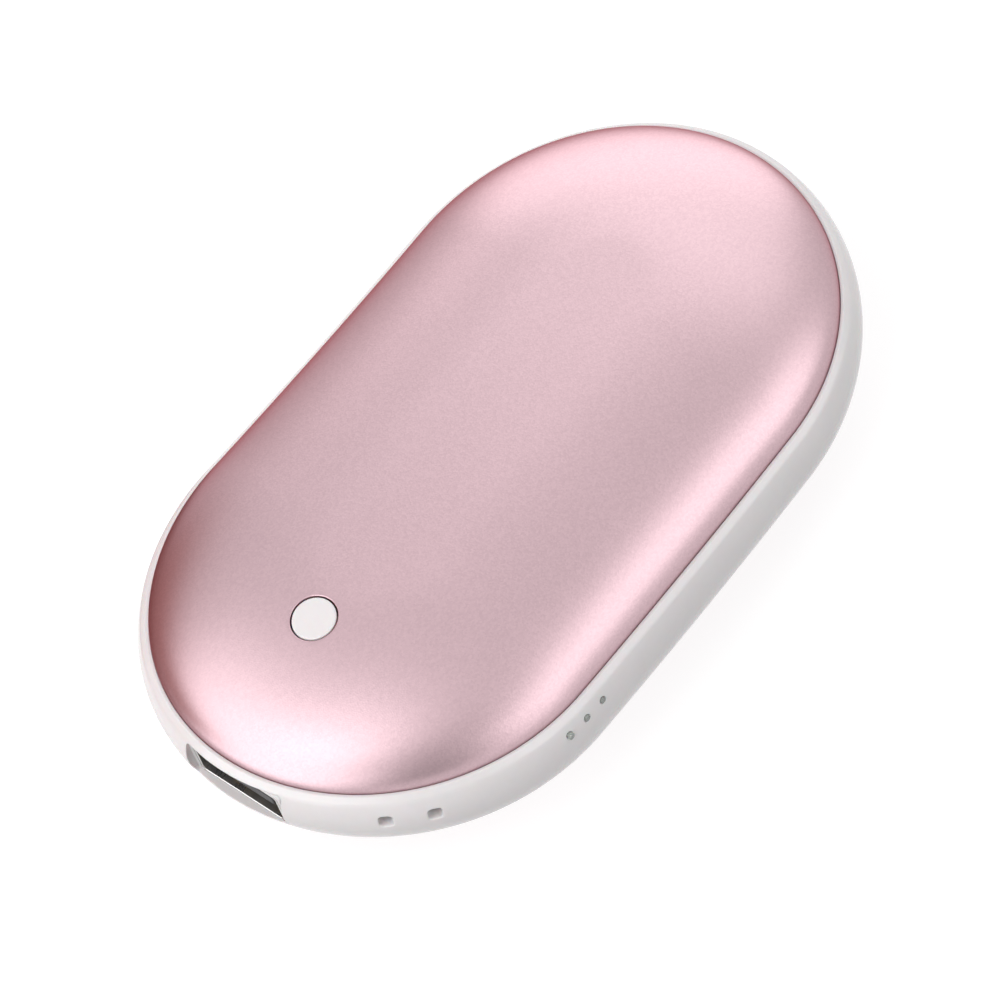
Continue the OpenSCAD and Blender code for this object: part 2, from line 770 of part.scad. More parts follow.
// Cells
can_r = cell_d / 2 - sleeve_t;
module cell_turned(x, y) {
    translate([x * cell_x, y, cell_z])
        rotate([-90, 0, 0])
            children();
}
module cell_cans() {
    color("silver")
        for (x = [-1, 1])
            cell_turned(x, cell_front + cap_h)
                cylinder(r = can_r, h = cell_l - cap_h);
}
module cell_sleeves() {
    color("teal")
        for (x = [-1, 1])
            cell_turned(x, cell_front + cap_h)
                difference() {
                    cylinder(r = can_r + sleeve_t, h = cell_l - cap_h);
                    translate([0, 0, -cut])
                        cylinder(r = can_r, h = cell_l + cut);
                }
}
module cell_rings() {
    color("white")
        for (x = [-1, 1])
            cell_turned(x, cell_front + cap_h - ring_t)
                difference() {
                    cylinder(r = can_r - sleeve_t, h = ring_t);
                    translate([0, 0, -cut])
                        cylinder(r = cap_r + running_gap, h = ring_t + 2 * cut);
                }
}
module cell_caps() {
    color("silver")
        for (x = [-1, 1])
            cell_turned(x, cell_front)
                cylinder(r = cap_r, h = cap_h);
}
strip_w = 6;
strip_over = 3.5;
module nickel_strip(y) {
    block([-cell_x - strip_over, y, cell_z - strip_w / 2], [cell_x + strip_over, y + strip_t, cell_z + strip_w / 2]);
}
module nickel_strip_front() {
    color("lightgray")
        nickel_strip(cell_front - strip_t);
}
module nickel_strip_rear() {
    color("lightgray")
        nickel_strip(cell_rear);
}

// Tray under the cells, with ears for its screws
tray_fit = 0.1;
tray_floor_t = 1;
tray_bottom = cell_z - cell_d / 2 - tray_fit - tray_floor_t;
tray_l_share = 0.93;
tray_half = cell_x + cell_d / 2 + tray_fit + tray_floor_t;
tray_flat_share = 0.536;
tray_knee_share = 0.842;
tray_flat_half = tray_flat_share * tray_half;
tray_knee_x = tray_knee_share * tray_half;
tray_knee_rise_share = 0.115;
tray_side_rise_share = 0.273;
tray_knee_z = tray_bottom + tray_knee_rise_share * cell_d;
tray_side_z = tray_bottom + tray_side_rise_share * cell_d;
module cell_tray() {
    color("whitesmoke")
        difference() {
            union() {
                translate([0, cell_front, 0])
                    rotate([90, 0, 0])
                        mirror([0, 0, 1])
                            linear_extrude(cell_l * tray_l_share)
                                polygon([[-tray_flat_half, tray_bottom], [tray_flat_half, tray_bottom],
                                    [tray_knee_x, tray_knee_z], [tray_half, tray_side_z],
                                    [tray_half, tray_top], [-tray_half, tray_top],
                                    [-tray_half, tray_side_z], [-tray_knee_x, tray_knee_z]]);
                for (x = [-1, 1], y = ear_places)
                    standing([x * (ear_x + ear_over + tray_half - tray_floor_t) / 2, y],
                        [ear_x + ear_over - tray_half + tray_floor_t, ear_w, ear_t], ear_bottom);
            }
            for (x = [-1, 1]) {
                cell_turned(x, cell_front - cut)
                    cylinder(r = cell_d / 2 + tray_fit, h = cell_l + 2 * cut);
                for (y = ear_places)
                    translate([x * ear_x, y, ear_bottom - cut])
                        cylinder(r = screw_r + screw_hole_gap, h = ear_t + 2 * cut);
            }
        }
}
module tray_screws() {
    color("silver")
        for (x = [-1, 1], y = ear_places)
            screw(x * ear_x, y, tray_top, ear_t);
}

// Heating films, which follow the shells' inner faces behind the button
film_front = cell_front + cap_h;
function film_points(depth) = [
    for (k = [0:film_steps])
        let (inset = film_inset + (rim_inset + shell_soft - film_inset) * k / film_steps)
            [inset, crown_share(inset, depth), 0, depth]];
module heater_film(side) {
    section = concat(turned(film_points(shell_t + film_gap + film_t)), film_points(shell_t + film_gap));
    intersection() {
        ring_solid([for (p = side > 0 ? section : turned(section)) shell_ring(p, side)], false);
        translate([-half_w, film_front, -cut])
            cube([body_w, body_l, body_h + 2 * cut]);
    }
}
module heater_film_top() {
    color("darkorange")
        heater_film(1);
}
module heater_film_bottom() {
    color("darkorange")
        heater_film(-1);
}

// Foam sheets with round ends
foam_top_short = 3.84;
foam_bottom_short = 6.84;
foam_top_half = 12.5;
foam_top_rear = cell_rear - foam_top_short;
foam_bottom_half = 10.5;
foam_bottom_rear = cell_rear - foam_bottom_short;
module foam_sheet(half, rear, low, high) {
    translate([0, 0, low])
        linear_extrude(high - low) {
            for (y = [film_front + half + foam_gap, rear - half])
                translate([0, y])
                    circle(half);
            translate([-half, film_front + half + foam_gap])
                square([2 * half, rear - film_front - 2 * half - foam_gap]);
        }
}
film_under = shell_t + film_gap + film_t;
module foam_pad_top() {
    color("darkgray")
        foam_sheet(foam_top_half, foam_top_rear, cell_z + cell_d / 2 + foam_gap,
            min(crown_at(1, 0, half_w - foam_top_half, film_under),
                crown_at(1, foam_top_rear, half_l - foam_top_rear, film_under)) - foam_gap);
}
module foam_pad_bottom() {
    color("darkgray")
        foam_sheet(foam_bottom_half, foam_bottom_rear,
            max(crown_at(-1, 0, half_w - foam_bottom_half, film_under),
                crown_at(-1, foam_bottom_rear, half_l - foam_bottom_rear, film_under)) + foam_gap,
            tray_bottom - foam_gap);
}

// Leads
lead_r = 0.65;
lead_run_share = 0.34;
lead_run_z = cell_z + lead_run_share * cell_d;
lead_x = 4.9;
lead_back = 0.7;
lead_pad_y = board_rear - lead_r - lead_back;
module battery_lead_plus() {
    color("red")
        wire([[lead_x, cell_front - strip_t - lead_r - foam_gap, cell_z + strip_w / 2 - lead_r],
            [lead_x, cell_front - strip_t - lead_r - foam_gap, board_top + 2 * lead_r],
            [lead_x, lead_pad_y, board_top + lead_r + foam_gap]], lead_r);
}
module battery_lead_minus() {
    rear = cell_rear + strip_t + lead_r + foam_gap;
    front = cell_front - strip_t - lead_r - foam_gap;
    color("black")
        wire([[0, rear, cell_z - strip_w / 2 + lead_r], [0, rear, lead_run_z - lead_r],
            [0, rear - lead_r, lead_run_z], [0, front + lead_r, lead_run_z],
            [0, front, lead_run_z - lead_r], [-lead_x, front, board_top + 3 * lead_r],
            [-lead_x, lead_pad_y, board_top + lead_r + foam_gap]], lead_r);
}

thin_r = 0.4;
heater_lead_out = 0.25;
heater_lead_x = cell_x + heater_lead_out;
heater_lead_in = 0.6;
module heater_leads_top() {
    edge = crown_at(1, film_front, half_w - heater_lead_x, film_under) - thin_r - foam_gap;
    front = cell_front - strip_t - cell_clear / 2;
    color("red")
        for (x = [-1, 1])
            wire([[x * heater_lead_x, film_front + heater_lead_in, edge], [x * heater_lead_x, front, edge - thin_r],
                [x * heater_lead_x, front, board_top + 3 * thin_r],
                [x * heater_lead_x, lead_pad_y, board_top + thin_r + foam_gap]], thin_r);
}
module heater_leads_bottom() {
    edge = crown_at(-1, film_front, half_w - heater_lead_x, film_under) + thin_r + foam_gap;
    front = cell_front - cell_clear / 2;
    color("blue")
        for (x = [-1, 1])
            wire([[x * heater_lead_x, film_front + heater_lead_in, edge], [x * heater_lead_x, front, edge + thin_r],
                [x * heater_lead_x, front, board_bottom - 4 * thin_r],
                [x * heater_lead_x, lead_pad_y, board_bottom - thin_r - foam_gap]], thin_r);
}

sensor_r = 0.85;
sensor_y = 5;
sensor_z = cell_z + cell_d / 2 - sensor_r;
sensor_lead_r = 0.25;
sensor_lead_x = 0.4;
sensor_share = 0.235;
sensor_x = sensor_share * cell_x;
module temperature_sensor() {
    color("black")
        translate([sensor_x, sensor_y, sensor_z])
            sphere(r = sensor_r);
}
module sensor_leads() {
    front = cell_front - strip_t - cell_clear / 2;
    color("white")
        for (x = [sensor_x - sensor_lead_x, sensor_x + sensor_lead_x])
            wire([[x, sensor_y - sensor_r, sensor_z], [x, front + thin_r, sensor_z], [x, front, sensor_z - thin_r],
                [x, front, board_top + 3 * thin_r],
                [x, lead_pad_y + lead_back, board_top + sensor_lead_r + foam_gap]], sensor_lead_r);
}

top_shell();
bottom_shell();
middle_frame();
glue_ring_top();
glue_ring_bottom();
button_cap();
button_guide();
switch_base();
switch_lid();
switch_plunger();
switch_dome();
switch_pins();
circuit_board();
board_screws();
outlet_shell();
outlet_tongue();
outlet_contacts();
inlet_shell();
inlet_tongue();
control_chips();
power_inductor();
capacitors();
resistors();
power_transistors();
charge_lights();
light_guide();
cell_cans();
cell_sleeves();
cell_rings();
cell_caps();
nickel_strip_front();
nickel_strip_rear();
battery_lead_plus();
battery_lead_minus();
cell_tray();
tray_screws();
heater_film_top();
heater_film_bottom();
heater_leads_top();
heater_leads_bottom();
foam_pad_top();
foam_pad_bottom();
temperature_sensor();
sensor_leads();
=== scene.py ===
"""A rechargeable hand warmer: two satin pink metal shells in a gloss white frame, with a button, three
charge lights, two lanyard holes, a power outlet and a charging inlet. Lengths are in millimetres until
a mesh is made."""
import json
import math

import bpy
import numpy as np
from mathutils import Matrix, Vector


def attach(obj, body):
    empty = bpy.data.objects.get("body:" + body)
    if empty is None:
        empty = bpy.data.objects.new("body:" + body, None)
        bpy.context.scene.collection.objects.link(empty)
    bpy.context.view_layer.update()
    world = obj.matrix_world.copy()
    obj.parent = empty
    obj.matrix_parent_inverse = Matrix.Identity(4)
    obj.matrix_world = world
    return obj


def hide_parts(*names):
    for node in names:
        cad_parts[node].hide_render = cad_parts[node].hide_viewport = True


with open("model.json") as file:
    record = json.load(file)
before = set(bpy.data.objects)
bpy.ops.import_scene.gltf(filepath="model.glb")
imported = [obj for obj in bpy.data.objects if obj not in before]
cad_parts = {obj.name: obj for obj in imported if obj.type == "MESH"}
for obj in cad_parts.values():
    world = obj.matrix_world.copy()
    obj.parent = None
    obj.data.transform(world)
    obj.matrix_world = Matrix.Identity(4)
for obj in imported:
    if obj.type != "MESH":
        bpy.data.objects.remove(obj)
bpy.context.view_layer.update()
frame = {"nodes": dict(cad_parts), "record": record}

MM = 0.001
UP = np.array([0.0, 0.0, 1.0])

# The driving sizes of the body
HALF_L, HALF_W, BODY_H = 52.7, 30.7, 25.0
END_L = 32.1
STRAIGHT_HALF = HALF_L - END_L
TOP_CROWN_H, BAND_H = 8.8, 9.4
UPPER_RISE, LOWER_RISE = 2.9, 3.4
BAND_MID_Z = BODY_H - TOP_CROWN_H - BAND_H / 2

# The frame's section
EDGE_INSET, WALL_SWELL, CHAMFER_H, LAND_W = 2.16, 1.05, 0.6, 0.43
FRAME_WALL, LEDGE_INSET, LEDGE_T = 2.0, 3.28, 0.8
REBATE_D = 1.05
EDGE_ROUND = ((0, 0.05), (0.02, 0.015), (0.05, 0))
LAND_ROUND, CHAMFER_ROUND = 0.07, 0.38
CHAMFER_TAIL, CHAMFER_TAIL_INSET = 0.16, 0.077
WALL_TOP_DROP = CHAMFER_H + 0.18

# The shells
SHELL_T, SHELL_SOFT, SOFT_POWER = 0.8, 22.2, 1.8
RIM_DROP, RIM_INSET, RIM_ROUND = 0.9, 2.2, 0.05
MIDDLE_HALF = 0.25

# The button
BUTTON_Y = -32.45
BUTTON_R, BUTTON_GAP = 2.7, 0.18
BUTTON_REACH_X, BUTTON_REACH_Y = 1.9, 1.6
CAP_SUNK, CAP_ROUND = 0.05, 0.22
CAP_RINGS = (0.3, 1, 1.7, 2.2)

# Fineness of the meshes
END_STEPS, SIDE_STEPS = 240, 96
WALL_ROWS, WALL_MARGIN = 26, 0.04
SOFT_ROWS, FLAT_ROWS = 60, 8
BOSS_STEPS = 32
CURVE_STEPS, LATHE_STEPS, SOCKET_STEPS = 6, 96, (12, 10)
# Between which insets, and which ways along a hole, a wall is searched, and by how many halvings
INSET_RANGE, PLAN_HALVINGS = (-4.0, HALF_W - 0.01), 44
WAY_RANGE, WALL_HALVINGS = (-6.0, 9.0), 36


def climb(y):
    """The share of their rise by which the frame's edges stand higher than at the middle."""
    return (y / HALF_L) ** 2


def upper_edge(y):
    return BAND_MID_Z + BAND_H / 2 + UPPER_RISE * climb(y)


def lower_edge(y):
    return BAND_MID_Z - BAND_H / 2 + LOWER_RISE * climb(y)


def edge_z(side, y):
    """Height of the frame's edge, above (side 1) or below (side -1)."""
    return upper_edge(y) if side > 0 else lower_edge(y)


def flat_z(side, depth):
    """Height of a shell's flat middle, at a depth in its sheet."""
    return BODY_H - depth if side > 0 else depth


def band(y):
    """The middle of the frame's height at a place along the body, and half of that height."""
    high, low = upper_edge(y), lower_edge(y)
    return (high + low) / 2, (high - low) / 2


def outline():
    """Columns round the body, anticlockwise from above, as (across, along, middle of the end)."""
    turn = np.pi * np.arange(END_STEPS) / END_STEPS
    way = np.arange(SIDE_STEPS) / SIDE_STEPS
    half = STRAIGHT_HALF
    one = np.ones(SIDE_STEPS)
    return np.vstack([
        np.column_stack([one, 0 * one, half * (2 * way - 1)]),
        np.column_stack([np.cos(turn), np.sin(turn), half + 0 * turn]),
        np.column_stack([-one, 0 * one, half * (1 - 2 * way)]),
        np.column_stack([-np.cos(turn), -np.sin(turn), -half + 0 * turn])])


def plan(spots, inset):
    """The columns' places in plan, at an inset from the frame's widest line."""
    return spots[:, 0] * (HALF_W - inset), spots[:, 2] + spots[:, 1] * (END_L - inset)


def at_edge(spots, side, inset, drop):
    """A ring at an inset in plan and at a drop from the frame's edge."""
    x, y = plan(spots, inset)
    return np.column_stack([x, y, edge_z(side, y) - side * drop])


def plan_inset(x, y):
    """How far a point in plan lies inside the frame's widest line."""
    low, high = (np.full(len(x), end) for end in INSET_RANGE)
    past = np.maximum(np.abs(y) - STRAIGHT_HALF, 0)
    for _ in range(PLAN_HALVINGS):
        mid = (low + high) / 2
        outside = (x / (HALF_W - mid)) ** 2 + (past / (END_L - mid)) ** 2 > 1
        high = np.where(outside, mid, high)
        low = np.where(outside, low, mid)
    return low


class Mesh:
    """Points in millimetres and faces, made into one object of the scene."""

    def __init__(self):
        self.points, self.faces, self.count = [], [], 0

    def add(self, points):
        points = np.asarray(points, float)
        index = np.arange(self.count, self.count + len(points))
        self.points.append(points)
        self.count += len(points)
        return index

    def bridge(self, a, b):
        """Faces between two closed loops of as many points."""
        n = len(a)
        self.faces += [(a[k], b[k], b[(k + 1) % n], a[(k + 1) % n]) for k in range(n)]

    def loops(self, rings, closed=False):
        index = [self.add(ring) for ring in rings]
        for a, b in zip(index, index[1:]):
            self.bridge(a, b)
        if closed:
            self.bridge(index[-1], index[0])
        return index

    def fill(self, loop):
        self.faces.append(tuple(loop))

    def make(self, name, material, body, replaces):
        points = np.vstack(self.points)
        used = np.unique(np.concatenate([np.array(f) for f in self.faces]))
        new = np.full(len(points), -1)
        new[used] = np.arange(len(used))
        data = bpy.data.meshes.new(name)
        faces = [tuple(int(new[i]) for i in f) for f in self.faces]
        data.from_pydata([tuple(p) for p in points[used] * MM], [], faces)
        data.polygons.foreach_set("use_smooth", [True] * len(data.polygons))
        data.update()
        piece = bpy.data.objects.new(name, data)
        bpy.context.scene.collection.objects.link(piece)
        data.materials.append(material)
        normals = piece.modifiers.new("normals", "WEIGHTED_NORMAL")
        normals.keep_sharp = True
        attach(piece, body)
        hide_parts(*replaces)


def fillet(before, corner, after, reach, steps=4):
    """A corner of a section as a short curve."""
    before, corner, after = (np.array(p, float) for p in (before, corner, after))
    start = corner + (before - corner) * min(1, reach / np.linalg.norm(before - corner))
    end = corner + (after - corner) * min(1, reach / np.linalg.norm(after - corner))
    t = np.linspace(0, 1, steps + 1)[:, None]
    return [tuple(p) for p in (1 - t) ** 2 * start + 2 * t * (1 - t) * corner + t ** 2 * end]


def round_loop(half_u, half_w, corner, across, down):
    """A rounded rectangle, clockwise from the middle of its upper left corner, with the grid's steps."""
    def side(steps, straight):
        """One side's points but for its last, as (angle, way along), from mid-corner to mid-corner."""
        if straight < 1e-6:
            return [(45 - 90 * k / steps, 0.5) for k in range(steps)]
        arc = max(1, min(4, steps // 4))
        run = steps - 2 * arc
        return ([(45 - 45 * k / arc, 0) for k in range(arc)] + [(0, k / run) for k in range(run)]
                + [(-45 * k / arc, 1) for k in range(arc)])

    points = []
    for quarter in range(4):
        steps, reach, other = (down, half_u, half_w) if quarter % 2 else (across, half_w, half_u)
        straight = 2 * (other - corner)
        heading = math.radians(90 - 90 * quarter)
        out = np.array([math.cos(heading), math.sin(heading)])
        along = np.array([out[1], -out[0]])
        for angle, way in side(steps, straight):
            turn = math.radians(angle)
            centre = out * (reach - corner) + along * straight * (way - 0.5)
            points.append(centre + corner * (out * math.cos(turn) - along * math.sin(turn)))
    return np.array(points)


def rectangle(grid, rows, cols):
    """The indices round a rectangle of a grid, clockwise from its first row and column."""
    (r0, r1), (c0, c1) = rows, cols
    down = 1 if r1 > r0 else -1
    n = grid.shape[1]
    top = [grid[r0, c % n] for c in range(c0, c1)]
    right = [grid[r, c1 % n] for r in range(r0, r1, down)]
    bottom = [grid[r1, c % n] for c in range(c1, c0, -1)]
    left = [grid[r, c0 % n] for r in range(r1, r0, -down)]
    return np.array(top + right + bottom + left)


# How the rings of a hole are spread: over the face, over the mouth's bevel, down to a seat, down the bore
# and over the far face
FACE_SHARES = (0.3, 0.6, 0.85)
BEVEL_ANGLES = (0, 22, 45, 68, 90)
SEAT_SHARES = (0.1, 0.5, 0.96, 1)
BORE_SHARES = (0.1, 0.5, 0.9, 1)
FAR_SHARES = (0.6, 0.3)


def tunnel(mesh, hole, grid, outer_rows, inner_rows, cols):
    """Replaces a rectangle of the outer and of the inner face by a hole with a rounded mouth."""
    across, down = cols[1] - cols[0], abs(outer_rows[1] - outer_rows[0])
    every = np.vstack(mesh.points)

    def flat(index):
        away = every[index] - hole["base"]
        return np.column_stack([away @ hole["right"], away @ hole["up"]])

    def loop(grow):
        return round_loop(hole["half_u"] + grow, hole["half_w"] + grow, hole["corner"] + grow, across, down)

    edge = rectangle(grid, outer_rows, cols)
    back = rectangle(grid, inner_rows, cols)
    bevel = hole["bevel"]
    rings = [edge]
    for share in FACE_SHARES:
        rings.append(mesh.add(hole["outer"]((1 - share) * flat(edge) + share * loop(bevel))))
    for angle in np.radians(BEVEL_ANGLES):
        face = hole["outer"](loop(bevel * (1 - math.sin(angle))))
        rings.append(mesh.add(face + bevel * (1 - math.cos(angle)) * hole["inward"]))
    mouth = hole["outer"](loop(0)) + bevel * hole["inward"]
    inmost = loop(0)
    if "seat" in hole:
        depth, half_u, half_w, height = hole["seat"]
        step = hole["base"] + loop(0) @ np.array([hole["right"], hole["up"]])
        step[:, 1] = depth
        rings += [mesh.add((1 - share) * mouth + share * step) for share in SEAT_SHARES]
        inmost = round_loop(half_u, half_w, hole["corner"], across, down) + [0, height - hole["base"][2]]
        mouth = hole["base"] + inmost @ np.array([hole["right"], hole["up"]])
        mouth[:, 1] = depth
        rings.append(mesh.add(mouth))
    end = hole["inner"](inmost)
    for share in BORE_SHARES:
        rings.append(mesh.add((1 - share) * mouth + share * end))
    for share in FAR_SHARES:
        rings.append(mesh.add(hole["inner"]((1 - share) * flat(back) + share * inmost)))
    rings.append(back)
    for a, b in zip(rings, rings[1:]):
        mesh.bridge(a, b)


def grid_faces(mesh, grid, closed, left_out):
    """Faces of a grid that closes along its columns, without the given rectangles of rows and columns."""
    rows, n = grid.shape
    skip = np.zeros((rows, n), bool)
    for (r0, r1), (c0, c1) in left_out:
        for c in range(c0, c1):
            skip[min(r0, r1):max(r0, r1), c % n] = True
    for r in range(rows if closed else rows - 1):
        s = (r + 1) % rows
        mesh.faces += [(grid[r, c], grid[s, c], grid[s, (c + 1) % n], grid[r, (c + 1) % n])
                       for c in range(n) if not skip[r, c]]


def columns_near(spots, base, right, reach):
    """The grid's columns that lie within a reach to the left and right of a place on the outline."""
    x, y = plan(spots, 0)
    away = np.column_stack([x, y, 0 * x]) - base * [1, 1, 0]
    near = np.linalg.norm(away, axis=1) < 2 * reach + 2
    u = np.where(near, away @ right, np.inf)
    first = int(np.argmin(np.abs(u + reach)))
    last = int(np.argmin(np.abs(u - reach)))
    return first, last if last > first else last + len(spots)


def wall_inset(y, z):
    """Inset of the frame's outer wall between its chamfers."""
    mid, half = band(y)
    return WALL_SWELL * ((z - mid) / (half - CHAMFER_H)) ** 2


def inner_inset(y, z):
    """Inset of the frame's inner wall, which thickens to a ledge under each shell's rim."""
    depth = np.minimum(upper_edge(y) - z, z - lower_edge(y)) - REBATE_D - LEDGE_T
    return np.clip(LEDGE_INSET - (LEDGE_INSET - FRAME_WALL) * depth / LEDGE_T, FRAME_WALL, LEDGE_INSET)


def onto_wall(hole, inset_at):
    """A function that carries points of a hole's face along the hole to a wall of the frame."""
    def carry(uw):
        start = hole["base"] + uw[:, :1] * hole["right"] + uw[:, 1:] * hole["up"]
        low, high = (np.full(len(uw), end) for end in WAY_RANGE)
        for _ in range(WALL_HALVINGS):
            mid = (low + high) / 2
            p = start + mid[:, None] * hole["inward"]
            inside = plan_inset(p[:, 0], p[:, 1]) > inset_at(p[:, 1], p[:, 2])
            high = np.where(inside, mid, high)
            low = np.where(inside, low, mid)
        return start + low[:, None] * hole["inward"]
    return carry


def facing(heading, lean=0.0):
    """The outward, right and up directions at a wall that faces a heading, in degrees from +X."""
    turn = math.radians(heading)
    out = np.array([math.cos(turn), math.sin(turn), 0])
    right = np.array([-math.sin(turn), math.cos(turn), 0])
    return out, math.cos(lean) * right - math.sin(lean) * UP, math.cos(lean) * UP + math.sin(lean) * right


def wall_hole(base, heading, half_u, half_w, corner, bevel, lean=0.0):
    """A hole through the frame from a place on its wall."""
    out, right, up = facing(heading, lean)
    hole = {"base": np.array(base, float), "inward": -out, "right": right, "up": up,
            "half_u": half_u, "half_w": half_w, "corner": corner, "bevel": bevel}
    hole["outer"] = onto_wall(hole, wall_inset)
    hole["inner"] = onto_wall(hole, inner_inset)
    return hole


def frame_rows(spots):
    """The rings of the frame's section: down the outer side, and up the inner side."""
    def at_height(share, inset_at, drop):
        """A ring on a wall, at a share of the half height that a drop from the edges leaves."""
        inset = np.full(len(spots), WALL_SWELL)
        for _ in range(3):
            _, y = plan(spots, inset)
            mid, half = band(y)
            z = mid + share * (half - drop)
            inset = inset_at(y, z)
        return np.column_stack([*plan(spots, inset), z])

    land = EDGE_INSET - LAND_W
    tail = (WALL_SWELL - CHAMFER_TAIL_INSET, CHAMFER_H + CHAMFER_TAIL)
    edge = ([(EDGE_INSET - inset, drop) for inset, drop in EDGE_ROUND]
            + fillet((EDGE_INSET, 0), (land, 0), (WALL_SWELL, CHAMFER_H), LAND_ROUND)
            + fillet((land, 0), (WALL_SWELL, CHAMFER_H), tail, CHAMFER_ROUND, CURVE_STEPS))
    shares = np.linspace(1, -1, WALL_ROWS + 1)
    rows = [at_edge(spots, 1, inset, drop) for inset, drop in edge]
    outer = (len(rows), len(rows) + WALL_ROWS)
    rows += [at_height(share, wall_inset, WALL_TOP_DROP) for share in shares]
    rows += [at_edge(spots, -1, inset, drop) for inset, drop in reversed(edge)]
    rows += [at_edge(spots, -1, EDGE_INSET, REBATE_D), at_edge(spots, -1, LEDGE_INSET, REBATE_D)]
    inner = (len(rows) + WALL_ROWS, len(rows))
    rows += [at_height(share, inner_inset, REBATE_D + WALL_MARGIN) for share in shares[::-1]]
    rows += [at_edge(spots, 1, LEDGE_INSET, REBATE_D), at_edge(spots, 1, EDGE_INSET, REBATE_D)]
    return rows, outer, inner


def on_outline(x=None, y=None, angle=None):
    """A place on the frame's widest line, with its heading: a front one by x or angle, a flank one by y."""
    if y is not None:
        side = 1 if x > 0 else -1
        past = max(0, abs(y) - STRAIGHT_HALF)
        across = HALF_W * math.sqrt(1 - (past / END_L) ** 2)
        return [side * across, y], (0 if side > 0 else 180)
    if angle is None:
        angle = math.degrees(math.asin(x / HALF_W))
    turn = math.radians(angle)
    return [HALF_W * math.sin(turn), -STRAIGHT_HALF - END_L * math.cos(turn)], angle - 90


# The board, the sockets on it, and the holes of the frame
BOARD_T = 1.2
BOARD_TOP = BAND_MID_Z + 0.1
OUTLET_X, OUTLET_Y, OUTLET_L, OUTLET_W, OUTLET_H, OUTLET_SHEET = 1.1, -51.05, 14.0, 13.0, 5.7, 0.3
OUTLET_BASE = BOARD_TOP + 0.3
SEAT_GAP = 0.1
SLOT_W, SLOT_H, SLOT_SILL, SLOT_CORNER = 14.2, 6.05, 0.1, 0.7
INLET_Y, INLET_W, INLET_H, INLET_CLEAR, INLET_CORNER = -24.0, 7.5, 2.7, 0.45, 0.9
LANYARD_ANGLE, LANYARD_PITCH, LANYARD_W, LANYARD_LIFT, LANYARD_CORNER = 43.9, 5.7, 1.7, 1.25, 0.5
LIGHTS_Y, LIGHTS_PITCH, WINDOW_R, LIGHTS_LIFT = -22.1, 2.9, 0.48, 2.6
SOCKET_BEVEL, LANYARD_BEVEL, WINDOW_BEVEL = 0.12, 0.16, 0.07
# How far a hole's rectangle of the grid reaches past it, sideways and up and down, or None for all the rows
SLOT_REACH, INLET_REACH, LANYARD_REACH, WINDOW_REACH = (1.1, None), (1, 0.9), (0.9, 0.9), (0.6, 0.5)


def lanyard_place():
    """The middle of the pair of holes, its heading, and how far it leans with the climbing band."""
    place, heading = on_outline(angle=LANYARD_ANGLE)
    reach = LANYARD_PITCH / 2 * math.sin(math.radians(LANYARD_ANGLE))
    lean = math.atan((band(place[1] - reach)[0] - band(place[1] + reach)[0]) / LANYARD_PITCH)
    return np.array([*place, band(place[1])[0] + LANYARD_LIFT]), heading, lean


def frame_holes():
    """Each hole of the frame, with its rectangle's two reaches."""
    holes = []
    place, _ = on_outline(x=OUTLET_X)
    base = [OUTLET_X, place[1], OUTLET_BASE + SLOT_SILL + SLOT_H / 2]
    slot = wall_hole(base, -90, SLOT_W / 2, SLOT_H / 2, SLOT_CORNER, SOCKET_BEVEL)
    slot["seat"] = (OUTLET_Y, OUTLET_W / 2 + SEAT_GAP, OUTLET_H / 2 + SEAT_GAP, OUTLET_BASE + OUTLET_H / 2)
    holes.append((slot, *SLOT_REACH))
    place, _ = on_outline(x=-1, y=INLET_Y)
    holes.append((wall_hole([*place, BOARD_TOP + INLET_H / 2], 180, INLET_W / 2 + INLET_CLEAR,
                            INLET_H / 2 + INLET_CLEAR, INLET_CORNER, SOCKET_BEVEL), *INLET_REACH))
    base, heading, lean = lanyard_place()
    for side in (-1, 1):
        centre = base + side * LANYARD_PITCH / 2 * facing(heading, lean)[1]
        holes.append((wall_hole(centre, heading, LANYARD_W / 2, LANYARD_W / 2, LANYARD_CORNER,
                                LANYARD_BEVEL, lean), *LANYARD_REACH))
    for k in (-1, 0, 1):
        place, heading = on_outline(x=1, y=LIGHTS_Y + k * LIGHTS_PITCH)
        base = [*place, band(place[1])[0] + LIGHTS_LIFT]
        holes.append((wall_hole(base, heading, WINDOW_R, WINDOW_R, WINDOW_R, WINDOW_BEVEL), *WINDOW_REACH))
    return holes


# The screw bosses and their ribs
BOSS_R, BOSS_H, BORE_R, BOSS_BEVEL = 2.1, 2.2, 0.8, 0.15
RIB_HALF, RIB_LOW, RIB_HIGH = 1.5, 0.85, 0.05
RIB_IN_WALL, RIB_IN_BOSS = 0.4, 0.2
# The bosses on each side as (across, along, height of the top)
BOSSES = ((17.65, -38.7, BOARD_TOP - BOARD_T), (23.9, -9.8, 10.4), (23.9, 22.0, 10.4))


